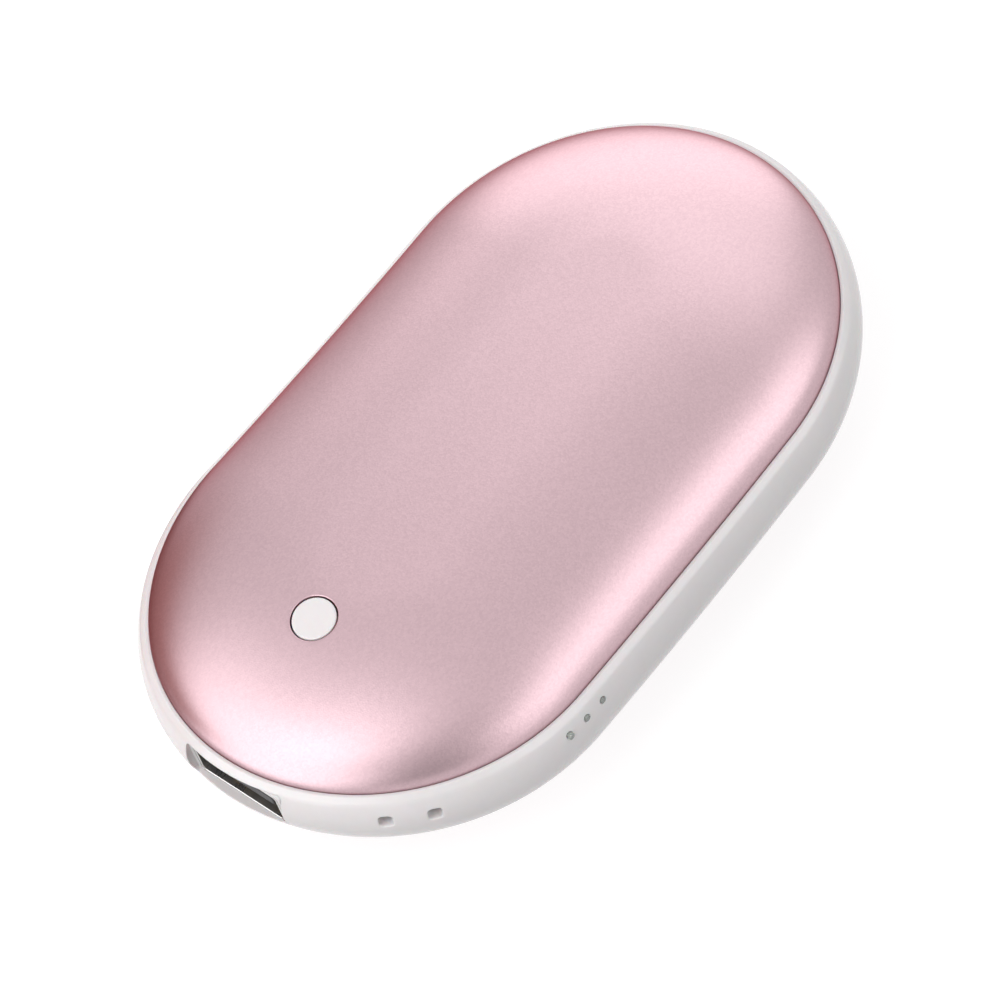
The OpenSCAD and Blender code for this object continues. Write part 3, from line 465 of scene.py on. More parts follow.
def screw_boss(mesh, side, x, y, top):
    """A boss inside the frame with its bore, and the rib that carries it."""
    turn = 2 * np.pi * np.arange(BOSS_STEPS) / BOSS_STEPS
    ring = np.column_stack([np.cos(turn), np.sin(turn), 0 * turn])
    centre = np.array([side * x, y, top])
    section = ((BORE_R, BOSS_H), (BORE_R, 0), (BOSS_R - BOSS_BEVEL, 0),
               (BOSS_R, BOSS_BEVEL), (BOSS_R, BOSS_H))
    mesh.loops([centre + r * ring - h * UP for r, h in section], closed=True)

    def in_wall(along):
        past = max(0, abs(along) - STRAIGHT_HALF)
        wall = (HALF_W - FRAME_WALL) * math.sqrt(1 - (past / (END_L - FRAME_WALL)) ** 2)
        return side * (wall + RIB_IN_WALL), along

    near = side * (x + BOSS_R - RIB_IN_BOSS)
    corners = [(near, y - RIB_HALF), in_wall(y - RIB_HALF), in_wall(y + RIB_HALF), (near, y + RIB_HALF)]
    prism(mesh, corners[::side], top - RIB_LOW, top - RIB_HIGH)


def close_ends(mesh, index):
    """Closes the first and the last of a row of loops."""
    mesh.fill(index[0])
    mesh.fill(index[-1][::-1])


def box(mesh, low, high):
    """A closed box between two corners."""
    (x0, y0, z0), (x1, y1, z1) = np.minimum(low, high), np.maximum(low, high)
    prism(mesh, [(x0, y0), (x1, y0), (x1, y1), (x0, y1)], z0, z1)


def prism(mesh, corners, low, high):
    """A closed upright prism on four corners, anticlockwise from above."""
    index = mesh.add([(*corner, z) for z in (low, high) for corner in corners])
    for face in ((0, 3, 2, 1), (4, 5, 6, 7), (0, 1, 5, 4), (1, 2, 6, 5), (2, 3, 7, 6), (3, 0, 4, 7)):
        mesh.faces.append(tuple(index[list(face)]))


# The pocket's walls and the depths of its open front, of its floor and of its back
POCKET_SIDE, POCKET_ROOF, POCKET_SOLE = 1.0, 0.6, 1.0
POCKET_FRONT, POCKET_FLOOR, POCKET_BACK = 2.6, 3.7, 4.6


def lanyard_pocket(mesh):
    """The pocket behind the lanyard's bar, in which the two holes meet, as a box open to the wall."""
    base, heading, lean = lanyard_place()
    out, right, up = facing(heading, lean)
    inner = LANYARD_PITCH / 2 + LANYARD_W / 2
    outer = inner + POCKET_SIDE

    def ring(half, high, low, depth):
        return [base + u * right + w * up - depth * out
                for u, w in ((-half, high), (half, high), (half, low), (-half, low))]

    hole_h = LANYARD_W / 2
    high, low = hole_h + POCKET_ROOF, -hole_h - POCKET_SOLE
    close_ends(mesh, mesh.loops([
        ring(outer, high, low, POCKET_BACK), ring(outer, high, low, POCKET_FRONT),
        ring(inner, hole_h, -hole_h, POCKET_FRONT), ring(inner, hole_h, -hole_h, POCKET_FLOOR)]))


def make_frame(material):
    """The white frame with its holes, the bosses inside it and the lanyard's pocket."""
    mesh = Mesh()
    spots = outline()
    rows, outer, inner = frame_rows(spots)
    grid = np.array([mesh.add(row) for row in rows])
    cut_out = []
    holes = []
    for hole, margin, reach in frame_holes():
        cols = columns_near(spots, hole["base"], hole["right"], hole["half_u"] + margin)
        chosen = (0, WALL_ROWS)
        if reach is not None:
            _, along, height = hole["base"]
            mid, half = band(along)
            span = half - REBATE_D - WALL_MARGIN
            top = (height + hole["half_w"] + reach - mid) / span
            low = (height - hole["half_w"] - reach - mid) / span
            chosen = (max(0, round(WALL_ROWS * (1 - top) / 2)),
                      min(WALL_ROWS, round(WALL_ROWS * (1 - low) / 2)))
        outer_rows = (outer[0] + chosen[0], outer[0] + chosen[1])
        inner_rows = (inner[0] - chosen[0], inner[0] - chosen[1])
        holes.append((hole, outer_rows, inner_rows, cols))
        cut_out += [(outer_rows, cols), (inner_rows, cols)]
    grid_faces(mesh, grid, True, cut_out)
    for hole, outer_rows, inner_rows, cols in holes:
        tunnel(mesh, hole, grid, outer_rows, inner_rows, cols)
    for side in (-1, 1):
        for boss in BOSSES:
            screw_boss(mesh, side, *boss)
    lanyard_pocket(mesh)
    mesh.make("middle_frame_skin", material, "housing", ["middle_frame"])


def crown_z(side, x, y, depth=0):
    """Height of a shell's face, at a depth in its sheet."""
    edge = edge_z(side, y)
    share = np.clip((plan_inset(x, y) - RIM_INSET - depth) / (SHELL_SOFT - depth), 0, 1)
    return edge + (1 - (1 - share) ** SOFT_POWER) ** (1 / SOFT_POWER) * (flat_z(side, depth) - edge)


def flat_insets():
    """The insets of the rings on a shell's flat middle."""
    start = HALF_W - MIDDLE_HALF
    return [start - (start - RIM_INSET - SHELL_SOFT) * k / FLAT_ROWS for k in range(FLAT_ROWS)]


def soft_turns():
    """The angles of the rings on a shell's soft slope, from the flat middle to the rim."""
    return [math.pi / 2 * (1 - k / SOFT_ROWS) for k in range(SOFT_ROWS + 1)]


def soft_inset(turn, depth=0):
    return RIM_INSET + depth + (SHELL_SOFT - depth) * (1 - math.cos(turn) ** (2 / SOFT_POWER))


def shell_rows(spots, side):
    """Rings of one shell: outwards over its face, down the rim, and inwards under the sheet."""
    def face(depth):
        rings = []
        top = flat_z(side, depth)
        for inset in flat_insets():
            x, y = plan(spots, inset)
            rings.append(np.column_stack([x, y, np.full(len(x), top)]))
        for turn in soft_turns():
            x, y = plan(spots, soft_inset(turn, depth))
            edge = edge_z(side, y)
            rings.append(np.column_stack([x, y, edge + math.sin(turn) ** (2 / SOFT_POWER) * (top - edge)]))
        return rings

    back = RIM_INSET + SHELL_T
    rim = [(RIM_INSET, RIM_DROP / 3), (RIM_INSET, RIM_DROP - RIM_ROUND), (RIM_INSET + RIM_ROUND, RIM_DROP),
           (back - RIM_ROUND, RIM_DROP), (back, RIM_DROP - RIM_ROUND)]
    return face(0) + [at_edge(spots, side, *place) for place in rim] + face(SHELL_T)[::-1]


def make_shell(side, name, material):
    """A metal shell, above (side 1) with the button's hole, or below (side -1)."""
    mesh = Mesh()
    spots = outline()
    grid = np.array([mesh.add(row) for row in shell_rows(spots, side)])
    cut_out = []
    if side > 0:
        radius = BUTTON_R + BUTTON_GAP
        hole = {"base": np.array([0, BUTTON_Y, BODY_H]), "inward": -UP, "right": np.array([1.0, 0, 0]),
                "up": np.array([0, 1.0, 0]), "half_u": radius, "half_w": radius, "corner": radius,
                "bevel": SOCKET_BEVEL}

        def onto(depth):
            def carry(uw):
                x, y = uw[:, 0], uw[:, 1] + BUTTON_Y
                return np.column_stack([x, y, crown_z(1, x, y, depth)])
            return carry

        hole["outer"], hole["inner"] = onto(0), onto(SHELL_T)
        front = np.argmin(np.abs(spots[:, 0]) + (spots[:, 1] > 0))
        insets = flat_insets() + [soft_inset(turn) for turn in soft_turns()]
        along = np.array([plan(spots[[front]], inset)[1][0] for inset in insets])
        r0 = int(np.argmin(np.abs(along - (BUTTON_Y + radius + BUTTON_REACH_Y))))
        r1 = int(np.argmin(np.abs(along - (BUTTON_Y - radius - BUTTON_REACH_Y))))
        x, _ = plan(spots, HALF_L + BUTTON_Y)
        near = spots[:, 1] < 0
        c0 = int(np.argmin(np.where(near, np.abs(x + radius + BUTTON_REACH_X), np.inf)))
        c1 = int(np.argmin(np.where(near, np.abs(x - radius - BUTTON_REACH_X), np.inf)))
        last = len(grid) - 1
        outer_rows, inner_rows = (r0, r1), (last - r0, last - r1)
        cut_out = [(outer_rows, (c0, c1)), (inner_rows, (c0, c1))]
    grid_faces(mesh, grid, False, cut_out)
    if side > 0:
        tunnel(mesh, hole, grid, outer_rows, inner_rows, (c0, c1))
    close_middle(mesh, grid[0], True)
    close_middle(mesh, grid[-1], False)
    if side < 0:
        mesh.faces = [face[::-1] for face in mesh.faces]
    mesh.make(name, material, "housing", [name.replace("_skin", "")])


def close_middle(mesh, ring, upward):
    """Fills the narrow flat ring at a shell's middle with a strip from side to side."""
    n = len(ring)
    rear = SIDE_STEPS + END_STEPS // 2
    for k in range(n // 2):
        a, b = ring[(rear - k) % n], ring[(rear - k - 1) % n]
        c, d = ring[(rear + k + 1) % n], ring[(rear + k) % n]
        face = (a, d, c, b) if k else (a, c, b)
        if k == n // 2 - 1 and b == c:
            face = (a, d, c)
        mesh.faces.append(face if upward else tuple(reversed(face)))


def lathe(profile, centre, lean=0):
    """Rings about an upright axis from (radius, height), which may lean along Y by a slope."""
    turn = 2 * np.pi * np.arange(LATHE_STEPS) / LATHE_STEPS
    return [np.column_stack([centre[0] + r * np.cos(turn), centre[1] + r * np.sin(turn),
                             h + lean * r * np.sin(turn)]) for r, h in profile]


def make_button(material):
    """The cap: a face that follows the crown's slope, a flange under the shell and a stem to the switch."""
    low, top, high = crown_z(1, np.zeros(3), BUTTON_Y + BUTTON_R * np.array([-1, 0, 1])) - CAP_SUNK
    lean = (high - low) / (2 * BUTTON_R)
    stem, flange, shoulder, flange_r, stem_r = 20.7, 22.3, 23.1, 3.9, 1.6
    bevel, stem_bevel = 0.1, 0.15
    mesh = Mesh()
    face = [(r, top) for r in CAP_RINGS]
    face += fillet((CAP_RINGS[-1], top), (BUTTON_R, top), (BUTTON_R, top - 0.5), CAP_ROUND, CURVE_STEPS)
    rings = lathe(face, (0, BUTTON_Y), lean)
    rings += lathe([(BUTTON_R, shoulder + bevel), (BUTTON_R, shoulder),
                    (flange_r - bevel, shoulder), (flange_r, shoulder - bevel),
                    (flange_r, flange + bevel), (flange_r - bevel, flange), (stem_r, flange),
                    (stem_r, stem + stem_bevel), (stem_r - stem_bevel, stem), (CAP_RINGS[0], stem)],
                   (0, BUTTON_Y))
    close_ends(mesh, mesh.loops(rings))
    mesh.make("button_cap_face", material, "button", ["button_cap"])


def lying_loop(half_w, half_h, corner, centre, y):
    """A rounded rectangle round an axis along Y, clockwise from the front."""
    flat = round_loop(half_w, half_h, corner, *SOCKET_STEPS)
    return np.column_stack([centre[0] + flat[:, 0], np.full(len(flat), y), centre[1] + flat[:, 1]])


# The outlet's legs, springs, tongue with its block behind, and contacts
OUTLET_CORNER, LEG_HALF, LEG_SHARES, LEG_IN_SHELL = 0.75, 1, (0.36, 0.75), 0.4
SPRING_X, SPRING_Y, SPRING_L, SPRING_HALF, SPRING_T, SPRING_BEND = 3.2, 1.2, 6.5, 0.9, 0.2, 0.75
SPRING_STEPS = 10
TONGUE_HALF, TONGUE_LIFT, TONGUE_T, TONGUE_CORNER = 5.55, 2.65, 1.85, 0.3
BLOCK_HALF_W, BLOCK_HALF_H, BLOCK_CORNER, BLOCK_L = 6.15, 2.5, 0.4, 3
BLADE_SHARES, BLADE_HALF, BLADE_Y, BLADE_END = (-0.315, -0.09, 0.09, 0.315), 0.5, 1.3, 8.8
BLADE_IN_TONGUE, BLADE_PROUD = 0.005, 0.2


def make_outlet(steel, black, gold):
    """The power outlet: a folded steel shell with its springs, a black tongue and four contacts."""
    centre = (OUTLET_X, OUTLET_BASE + OUTLET_H / 2)
    half_w, half_h, sheet = OUTLET_W / 2, OUTLET_H / 2, OUTLET_SHEET
    front, rear = OUTLET_Y, OUTLET_Y + OUTLET_L
    mesh = Mesh()

    def at(depth, y):
        corner = max(OUTLET_CORNER / 3, OUTLET_CORNER - depth)
        return lying_loop(half_w - depth, half_h - depth, corner, centre, y)

    # The rounded lip, as (depth in the sheet, way behind the front)
    lip = ((0, 0.12), (0.05, 0.03), (0.1, 0), (sheet - 0.1, 0), (sheet - 0.03, 0.03), (sheet, 0.12))
    mesh.loops([at(0.001, rear), *(at(depth, front + way) for depth, way in lip), at(sheet, rear)],
               closed=True)
    for side in (-1, 1):
        for share in LEG_SHARES:
            y = front + share * OUTLET_L
            box(mesh, (centre[0] + side * (half_w - sheet), y - LEG_HALF, BOARD_TOP - BOARD_T),
                (centre[0] + side * half_w, y + LEG_HALF, OUTLET_BASE + LEG_IN_SHELL))
    for side in (-1, 1):
        for x in (-SPRING_X, SPRING_X):
            spring(mesh, centre[0] + x, centre[1] + side * (half_h - sheet), side, front + SPRING_Y)
    mesh.make("outlet_shell_sheet", steel, "housing", ["outlet_shell"])

    mesh = Mesh()
    low = OUTLET_BASE + sheet + TONGUE_LIFT
    middle = (centre[0], (low + low + TONGUE_T) / 2)
    behind = rear - BLOCK_L
    # The tongue's rounded nose, as (depth, way behind the front), then the tongue and its block
    nose = ((0.3, 0.1), (0.1, 0.16), (0, 0.3), (0, behind - front))
    rings = [lying_loop(TONGUE_HALF - depth, TONGUE_T / 2 - depth, TONGUE_CORNER, middle, front + way)
             for depth, way in nose]
    rings += [lying_loop(BLOCK_HALF_W, BLOCK_HALF_H, BLOCK_CORNER, centre, y) for y in (behind, rear)]
    close_ends(mesh, mesh.loops(rings[::-1]))
    mesh.make("outlet_tongue_bar", black, "housing", ["outlet_tongue"])

    mesh = Mesh()
    for share in BLADE_SHARES:
        x = centre[0] + share * 2 * TONGUE_HALF
        box(mesh, (x - BLADE_HALF, front + BLADE_Y, low - BLADE_PROUD),
            (x + BLADE_HALF, front + BLADE_END, low + BLADE_IN_TONGUE))
    mesh.make("outlet_contact_blades", gold, "housing", ["outlet_contacts"])


def spring(mesh, x, z, side, y):
    """A spring leaf that bends inwards from the outlet's sheet and touches the plug near its free end."""
    left, right = x - SPRING_HALF, x + SPRING_HALF
    rings = []
    for k in range(SPRING_STEPS + 1):
        way = k / SPRING_STEPS
        bend = SPRING_BEND * math.sin(math.pi * min(1, way * 1.02) * 0.85) ** 2
        middle = z - side * (0.02 + bend)
        along = y + SPRING_L * (1 - way)
        high, low = middle + SPRING_T / 2, middle - SPRING_T / 2
        rings.append([(left, along, high), (right, along, high), (right, along, low), (left, along, low)])
    close_ends(mesh, mesh.loops(rings))


# The inlet: its shell's mouth, length, sheet and corners, and its tongue, block and contacts
INLET_X, INLET_L, INLET_SHEET, INLET_CUT, INLET_FOLD = -29.15, 5.6, 0.25, 0.9, 0.35
INLET_BAR_HALF, INLET_BAR_T, INLET_BAR_END, INLET_BLOCK_L = 1.85, 0.6, 0.6, 1.2
PIN_PITCH, PIN_HALF, PIN_START, PIN_END, PIN_LOW, PIN_HIGH = 0.65, 0.15, 0.9, 4, 0.36, 0.28


def make_inlet(steel, black):
    """The charging inlet on the left flank: a small steel shell with a thin tongue."""
    mouth, rear, sheet = INLET_X, INLET_X + INLET_L, INLET_SHEET

    def ring(depth, x):
        w, h = INLET_W / 2 - depth, INLET_H - depth
        fold, knee, foot = INLET_FOLD, 0.1, depth + INLET_CUT
        flat = [(-w + INLET_CUT, depth), (w - INLET_CUT, depth), (w, foot), (w, h - fold),
                (w - knee, h - knee), (w - fold, h), (-w + fold, h), (-w + knee, h - knee),
                (-w, h - fold), (-w, foot)]
        return [(x, INLET_Y - u, BOARD_TOP + v) for u, v in flat]

    mesh = Mesh()
    mesh.loops([ring(0, rear), ring(0, mouth + 0.1), ring(0.06, mouth), ring(sheet - 0.06, mouth),
                ring(sheet, mouth + 0.1), ring(sheet, rear)], closed=True)
    mesh.make("inlet_shell_sheet", steel, "housing", ["inlet_shell"])
    mesh = Mesh()
    middle = BOARD_TOP + INLET_H / 2
    close_ends(mesh, mesh.loops([ring(sheet + 0.05, rear), ring(sheet + 0.05, rear - INLET_BLOCK_L)]))
    box(mesh, (mouth + INLET_BAR_END, INLET_Y - INLET_BAR_HALF, middle - INLET_BAR_T / 2),
        (rear - INLET_BAR_END, INLET_Y + INLET_BAR_HALF, middle + INLET_BAR_T / 2))
    for k in range(5):
        y = INLET_Y + (k - 2) * PIN_PITCH
        box(mesh, (mouth + PIN_START, y - PIN_HALF, middle - PIN_LOW),
            (mouth + PIN_END, y + PIN_HALF, middle - PIN_HIGH))
    mesh.make("inlet_tongue_bar", black, "housing", ["inlet_tongue"])


# Materials: each is a Principled shader whose colour, roughness and bump come from noise in the
# object's own space


def texture(tree, kind, scale, stretch=(1, 1, 1), **settings):
    """A procedural texture whose scale is in features per metre."""
    coordinates = tree.nodes.new("ShaderNodeTexCoord")
    mapping = tree.nodes.new("ShaderNodeMapping")
    mapping.inputs["Scale"].default_value = stretch
    node = tree.nodes.new(kind)
    node.inputs["Scale"].default_value = scale
    for name, value in settings.items():
        if name in node.inputs:
            node.inputs[name].default_value = value
        else:
            setattr(node, name, value)
    tree.links.new(coordinates.outputs["Object"], mapping.inputs["Vector"])
    tree.links.new(mapping.outputs["Vector"], node.inputs["Vector"])
    return node


def between(tree, value, low, high):
    """Carries the middle values of a noise onto a range."""
    node = tree.nodes.new("ShaderNodeMapRange")
    for name, number in (("From Min", 0.3), ("From Max", 0.7), ("To Min", low), ("To Max", high)):
        node.inputs[name].default_value = number
    tree.links.new(value, node.inputs["Value"])
    return node.outputs["Result"]


def tint(tree, value, stops):
    """Carries a texture's value onto colours, given as (place, colour)."""
    node = tree.nodes.new("ShaderNodeValToRGB")
    ramp = node.color_ramp
    while len(ramp.elements) < len(stops):
        ramp.elements.new(0.5)
    for element, (place, colour) in zip(ramp.elements, stops):
        element.position = place
        element.color = (*colour, 1)
    tree.links.new(value, node.inputs["Fac"])
    return node.outputs["Color"]


def multiply(tree, a, b):
    node = tree.nodes.new("ShaderNodeMix")
    node.data_type = "RGBA"
    node.blend_type = "MULTIPLY"
    node.inputs["Factor"].default_value = 1
    tree.links.new(a, node.inputs["A"])
    tree.links.new(b, node.inputs["B"])
    return node.outputs["Result"]


def bump(tree, height, depth, below=None):
    node = tree.nodes.new("ShaderNodeBump")
    node.inputs["Distance"].default_value = depth
    tree.links.new(height, node.inputs["Height"])
    if below is not None:
        tree.links.new(below, node.inputs["Normal"])
    return node.outputs["Normal"]


def scaled(colour, factor):
    return tuple(min(1, part * factor) for part in colour)


def finish(name, colour, rough, metallic=0.0, patch=60, spread=0.05, grain=2500, depth=4e-6,
           stretch=(1, 1, 1), overlay=None, **sockets):
    """A material with patches of colour, uneven roughness, a fine grain and a pattern laid over it."""
    material = bpy.data.materials.new(name + "_finish")
    material.use_nodes = True
    tree = material.node_tree
    shader = tree.nodes["Principled BSDF"]
    shader.inputs["Metallic"].default_value = metallic
    for socket, value in sockets.items():
        shader.inputs[socket.replace("_", " ")].default_value = value
    patches = texture(tree, "ShaderNodeTexNoise", patch, stretch, Detail=4, Roughness=0.6)
    speck = texture(tree, "ShaderNodeTexNoise", grain, stretch, Detail=3, Roughness=0.6)
    dark, light = scaled(colour, 1 - spread), scaled(colour, 1 + spread)
    base = tint(tree, patches.outputs["Fac"], [(0.3, dark), (0.7, light)])
    fine = tint(tree, speck.outputs["Fac"], [(0.25, (1 - spread,) * 3), (0.6, (1, 1, 1))])
    base = multiply(tree, base, fine)
    normal = bump(tree, speck.outputs["Fac"], depth)
    if overlay:
        base, normal = overlay(tree, base, normal)
    tree.links.new(base, shader.inputs["Base Color"])
    tree.links.new(between(tree, patches.outputs["Fac"], *rough), shader.inputs["Roughness"])
    tree.links.new(normal, shader.inputs["Normal"])
    return material


def blasted(tree, base, normal):
    """Dimples left by blasting, each with its own brightness under the anodised layer."""
    dimples = texture(tree, "ShaderNodeTexVoronoi", 4600, Randomness=1.0)
    glint = tint(tree, dimples.outputs["Color"], [(0.1, (0.9, 0.9, 0.9)), (0.9, (1, 1, 1))])
    return multiply(tree, base, glint), bump(tree, dimples.outputs["Distance"], 5.5e-6, normal)


def tracks(tree, base, normal):
    """Copper tracks that show under a board's solder mask."""
    lines = texture(tree, "ShaderNodeTexBrick", 260, offset=0.5)
    for socket, value in (("Mortar Size", 0.012), ("Mortar Smooth", 0.2),
                          ("Brick Width", 1.7), ("Row Height", 0.35)):
        lines.inputs[socket].default_value = value
    trace = tint(tree, lines.outputs["Fac"], [(0, (1, 1, 1)), (1, (0.45, 0.62, 0.5))])
    return multiply(tree, base, trace), bump(tree, lines.outputs["Fac"], 2e-5, normal)


def heating(tree, base, normal):
    """The winding foil track that shows through the film."""
    bands = texture(tree, "ShaderNodeTexWave", 95, wave_type="BANDS", bands_direction="X", Distortion=0.0)
    track = tint(tree, bands.outputs["Fac"], [(0.42, (1, 1, 1)), (0.5, (0.72, 0.5, 0.4))])
    return multiply(tree, base, track), bump(tree, bands.outputs["Fac"], 2e-5, normal)


def cells(tree, base, normal):
    """Closed pores of a foam, with painted shade that darkens each pore towards its middle."""
    pores = texture(tree, "ShaderNodeTexVoronoi", 1400, Randomness=0.9)
    # Painted shade: the colour darkens towards each pore's middle, where the bump sinks the pit
    shade = tint(tree, pores.outputs["Distance"], [(0, (0.55, 0.55, 0.55)), (0.6, (1, 1, 1))])
    return multiply(tree, base, shade), bump(tree, pores.outputs["Distance"], 1.2e-4, normal)


def creases(tree, base, normal):
    """Shallow creases of a shrunk sleeve."""
    folds = texture(tree, "ShaderNodeTexNoise", 120, (1, 0.15, 1), Detail=2)
    return base, bump(tree, folds.outputs["Fac"], 2e-4, normal)


def moulded(tree, base, normal):
    """The faint flow and wear of a polished moulding."""
    flow = texture(tree, "ShaderNodeTexNoise", 180, (1, 1, 2.5), Detail=2)
    return base, bump(tree, flow.outputs["Fac"], 1.2e-5, normal)


FINISHES = {
    "anodised_pink": dict(colour=(0.542, 0.388, 0.421), rough=(0.34, 0.38), metallic=1.0, patch=14,
                          spread=0.02, grain=6000, depth=2.5e-6, overlay=blasted,
                          Specular_Tint=(0.47, 0.14, 0.14, 1)),
    "gloss_white": dict(colour=(0.775, 0.745, 0.75), rough=(0.16, 0.26), patch=90, spread=0.015, grain=900,
                        depth=1.5e-6, overlay=moulded, Subsurface_Weight=0.15, Subsurface_Scale=0.0015),
    "inner_white": dict(colour=(0.72, 0.71, 0.69), rough=(0.45, 0.58), overlay=moulded),
    "black_plastic": dict(colour=(0.022, 0.022, 0.024), rough=(0.38, 0.5), spread=0.12),
    "grey_plastic": dict(colour=(0.09, 0.09, 0.10), rough=(0.4, 0.55), spread=0.1),
    "steel": dict(colour=(0.58, 0.57, 0.56), rough=(0.24, 0.36), metallic=1.0, patch=220, grain=5200,
                  depth=3e-6, stretch=(1, 0.12, 1)),
    "gold": dict(colour=(0.80, 0.56, 0.20), rough=(0.2, 0.32), metallic=1.0, patch=400, grain=4000,
                 depth=2e-6),
    "board_green": dict(colour=(0.02, 0.14, 0.06), rough=(0.3, 0.42), spread=0.1, overlay=tracks),
    "ceramic_tan": dict(colour=(0.42, 0.29, 0.17), rough=(0.55, 0.7), patch=500, spread=0.08),
    "light_yellow": dict(colour=(0.80, 0.68, 0.28), rough=(0.15, 0.25), patch=600, Coat_Weight=0.4),
    "clear": dict(colour=(0.70, 0.74, 0.70), rough=(0.12, 0.22), patch=300, spread=0.02, depth=1e-6,
                  Transmission_Weight=0.7, IOR=1.49),
    "cell_metal": dict(colour=(0.55, 0.55, 0.55), rough=(0.22, 0.34), metallic=1.0, patch=120, grain=4200,
                       stretch=(1, 0.1, 1)),
    "sleeve_teal": dict(colour=(0.03, 0.19, 0.20), rough=(0.25, 0.38), overlay=creases),
    "film_amber": dict(colour=(0.60, 0.26, 0.05), rough=(0.18, 0.3), overlay=heating, Coat_Weight=0.5),
    "foam_grey": dict(colour=(0.16, 0.16, 0.165), rough=(0.85, 0.95), spread=0.08, overlay=cells,
                      Sheen_Weight=0.2),
    "glue": dict(colour=(0.20, 0.19, 0.18), rough=(0.35, 0.55), patch=250, spread=0.15, depth=2e-5),
}
for shade, colour in (("red", (0.42, 0.02, 0.02)), ("blue", (0.02, 0.05, 0.34)),
                      ("black", (0.012, 0.012, 0.013)), ("white", (0.74, 0.73, 0.71))):
    FINISHES["insulation_" + shade] = dict(colour=colour, rough=(0.35, 0.45), overlay=creases)
materials = {slot: finish(slot, **recipe) for slot, recipe in FINISHES.items()}

for subpart in frame["record"]["subparts"]:
    node = frame["nodes"][subpart["node"]]
    node.data.materials.clear()
    node.data.materials.append(materials[subpart["material_slot"]])

make_frame(materials["gloss_white"])
make_shell(1, "top_shell_skin", materials["anodised_pink"])
make_shell(-1, "bottom_shell_skin", materials["anodised_pink"])
make_button(materials["gloss_white"])
make_outlet(materials["steel"], materials["black_plastic"], materials["gold"])
make_inlet(materials["steel"], materials["black_plastic"])


# The camera stands where the photograph was taken from; its frame is 1001 pixels square
VIEW_AZIMUTH, VIEW_ELEVATION, VIEW_ROLL = 53.957, 56.02, math.radians(18.605)
VIEW_DISTANCE = 480.0
PIXELS, PIXELS_PER_MM = 1001, 8.299
SENSOR = 36.0
AIM_RIGHT, AIM_UP, AIM_Z = -1.563, -2.464, 11.5


def toward(azimuth, elevation):
    """The direction of an azimuth, from -Y towards +X, and an elevation, in degrees."""
    azimuth, elevation = math.radians(azimuth), math.radians(elevation)
    return np.array([math.sin(azimuth) * math.cos(elevation), -math.cos(azimuth) * math.cos(elevation),
                     math.sin(elevation)])


def add_camera():
    back = toward(VIEW_AZIMUTH, VIEW_ELEVATION)
    right = toward(VIEW_AZIMUTH + 90, 0)
    up = np.cross(back, right)
    place = AIM_Z * UP + AIM_RIGHT * right + AIM_UP * up + VIEW_DISTANCE * back
    across = math.cos(VIEW_ROLL) * right - math.sin(VIEW_ROLL) * up
    upward = math.sin(VIEW_ROLL) * right + math.cos(VIEW_ROLL) * up
    data = bpy.data.cameras.new("camera")
    data.sensor_width = SENSOR
    data.lens = PIXELS_PER_MM * VIEW_DISTANCE / PIXELS * SENSOR
    data.clip_start, data.clip_end = 0.01, 20
    camera = bpy.data.objects.new("camera", data)
    axes = np.column_stack([across, upward, back, place * MM])
    camera.matrix_world = Matrix([*axes.tolist(), [0, 0, 0, 1]])
    bpy.context.scene.collection.objects.link(camera)
    bpy.context.scene.camera = camera


def shows_white(tree):
    """1 on rays that show the background: from the camera, off gloss and through clear parts."""
    path = tree.nodes.new("ShaderNodeLightPath")
    shows = path.outputs["Is Camera Ray"]
    for name in ("Is Glossy Ray", "Is Transmission Ray"):
        either = tree.nodes.new("ShaderNodeMath")
        either.operation = "MAXIMUM"
        tree.links.new(shows, either.inputs[0])
        tree.links.new(path.outputs[name], either.inputs[1])
        shows = either.outputs[0]
    return shows


def show_either(tree, lighting, shown, kind):
    """Gives rays that show the background one shader, and all others another."""
    mix = tree.nodes.new("ShaderNodeMixShader")
    output = tree.nodes.new(kind)
    tree.links.new(shows_white(tree), mix.inputs["Fac"])
    tree.links.new(lighting.outputs[0], mix.inputs[1])
    tree.links.new(shown.outputs[0], mix.inputs[2])
    tree.links.new(mix.outputs[0], output.inputs["Surface"])


AMBIENT = 0.39
FLOOR_SIZE = 6.0
FLOOR_PAINT, FLOOR_SEEN, FLOOR_GLOW = 0.27, 0.3, 0.79


def add_world():
    world = bpy.data.worlds.new("studio")
    bpy.context.scene.world = world
    world.use_nodes = True
    tree = world.node_tree
    tree.nodes.clear()
    ambient, white = (tree.nodes.new("ShaderNodeBackground") for _ in range(2))
    ambient.inputs["Strength"].default_value = AMBIENT
    ambient.inputs["Color"].default_value = (1, 1, 1, 1)
    white.inputs["Color"].default_value = (1, 1, 1, 1)
    show_either(tree, ambient, white, "ShaderNodeOutputWorld")


def bare_material(name):
    """A material without nodes."""
    material = bpy.data.materials.new(name)
    material.use_nodes = True
    material.node_tree.nodes.clear()
    return material


def flat_sheet(name, width, height, material):
    """A rectangle round its own origin."""
    x, y = width / 2, height / 2
    data = bpy.data.meshes.new(name)
    data.from_pydata([(-x, -y, 0), (x, -y, 0), (x, y, 0), (-x, y, 0)], [], [(0, 1, 2, 3)])
    data.materials.append(material)
    return bpy.data.objects.new(name, data)


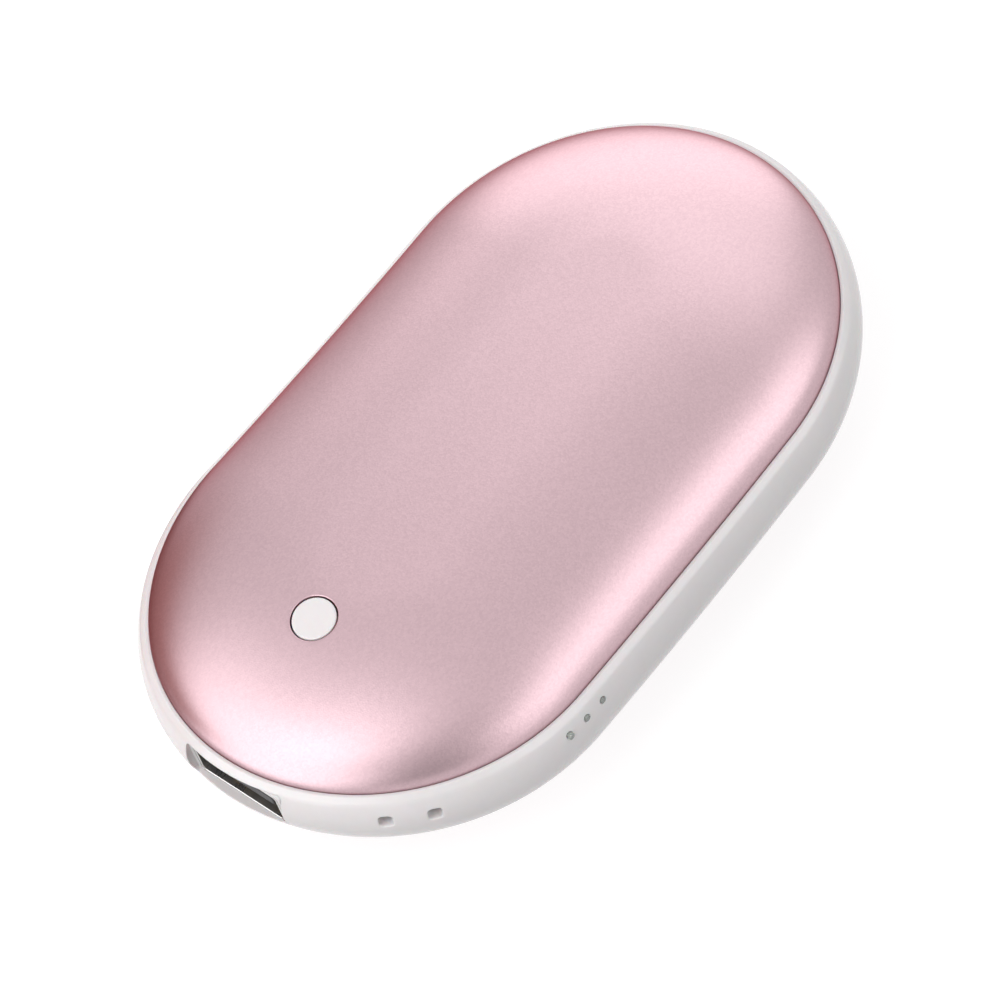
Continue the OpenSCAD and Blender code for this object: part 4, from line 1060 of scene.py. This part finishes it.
def add_floor():
    """A pale floor that shows nearly white and still takes the object's shadow."""
    material = bare_material("floor")
    tree = material.node_tree
    paint, seen, glow = (tree.nodes.new(kind) for kind in
                         ("ShaderNodeBsdfDiffuse", "ShaderNodeBsdfDiffuse", "ShaderNodeEmission"))
    paint.inputs["Color"].default_value = (FLOOR_PAINT, FLOOR_PAINT, FLOOR_PAINT, 1)
    seen.inputs["Color"].default_value = (FLOOR_SEEN, FLOOR_SEEN, FLOOR_SEEN, 1)
    glow.inputs["Strength"].default_value = FLOOR_GLOW
    add = tree.nodes.new("ShaderNodeAddShader")
    tree.links.new(seen.outputs[0], add.inputs[0])
    tree.links.new(glow.outputs[0], add.inputs[1])
    show_either(tree, paint, add, "ShaderNodeOutputMaterial")
    floor = flat_sheet("floor", FLOOR_SIZE, FLOOR_SIZE, material)
    bpy.context.scene.collection.objects.link(floor)


# Softboxes as (azimuth, elevation, distance, width, height, watts)
SOFTBOXES = {
    "front": (339, 35, 0.9, 1.42, 1.21, 9.2),
    "front_high": (354, 72, 0.9, 0.37, 0.29, 0.7),
    "right": (114, 37, 0.9, 0.86, 0.54, 2.2),
    "back_low": (217, 18, 0.9, 0.86, 0.55, 2.35),
    "back_high": (204, 50, 0.9, 0.66, 0.30, 0.7),
    "side_low": (89, 11, 0.9, 0.57, 0.32, 0.4),
}
# Cards that gloss shows between the softboxes, as (azimuth, elevation, distance, width, height, colour)
CARDS = {
    "left_card": (292, 14, 0.8, 0.90, 0.48, (0.46, 0.15, 0.12)),
    "camera_card": (51, 41, 0.8, 0.46, 0.74, (0.38, 0.38, 0.38)),
}
# The dark mat that the shell's low flank mirrors, as (across, along, width, length, colour)
MAT = (-0.245, -0.076, 0.40, 0.128, (0.42, 0.17, 0.14))
MAT_LIFT = 0.0004
# A low lamp in front that lights the white frame and doesn't show in gloss
FILL = (2, 15, 0.9, 0.5, 0.25, 0.45)


def put(thing, azimuth, elevation, distance):
    """Stands a lamp or a card at a distance in a direction, facing the object."""
    out = Vector(toward(azimuth, elevation))
    thing.location = out * distance
    thing.rotation_mode = "QUATERNION"
    thing.rotation_quaternion = out.to_track_quat("Z", "Y")
    bpy.context.scene.collection.objects.link(thing)


def add_softbox(name, azimuth, elevation, distance, width, height, watts):
    data = bpy.data.lights.new(name, "AREA")
    data.shape = "RECTANGLE"
    data.size, data.size_y = width, height
    data.energy = watts
    lamp = bpy.data.objects.new(name, data)
    put(lamp, azimuth, elevation, distance)
    return lamp


def add_card(name, azimuth, elevation, distance, width, height, colour):
    """A card that glows in one colour and doesn't show to the camera."""
    material = bare_material(name)
    tree = material.node_tree
    shade = tree.nodes.new("ShaderNodeEmission")
    output = tree.nodes.new("ShaderNodeOutputMaterial")
    shade.inputs["Color"].default_value = (*colour, 1)
    tree.links.new(shade.outputs[0], output.inputs["Surface"])
    card = flat_sheet(name, width, height, material)
    card.visible_camera = False
    put(card, azimuth, elevation, distance)
    return card


def add_mat(across, along, width, length, colour):
    """A card that lies just above the floor, for gloss alone."""
    mat = add_card("left_mat", 0, 90, 0, width, length, colour)
    mat.location = (across, along, MAT_LIFT)
    mat.rotation_mode = "XYZ"
    mat.rotation_euler = (0, 0, 0)
    mat.visible_diffuse = mat.visible_shadow = mat.visible_transmission = False


add_camera()
add_world()
add_floor()
for softbox, facts in SOFTBOXES.items():
    add_softbox(softbox, *facts)
for card, facts in CARDS.items():
    add_card(card, *facts)
add_mat(*MAT)
add_softbox("fill", *FILL).visible_glossy = False
bpy.context.scene.view_settings.view_transform = "Standard"
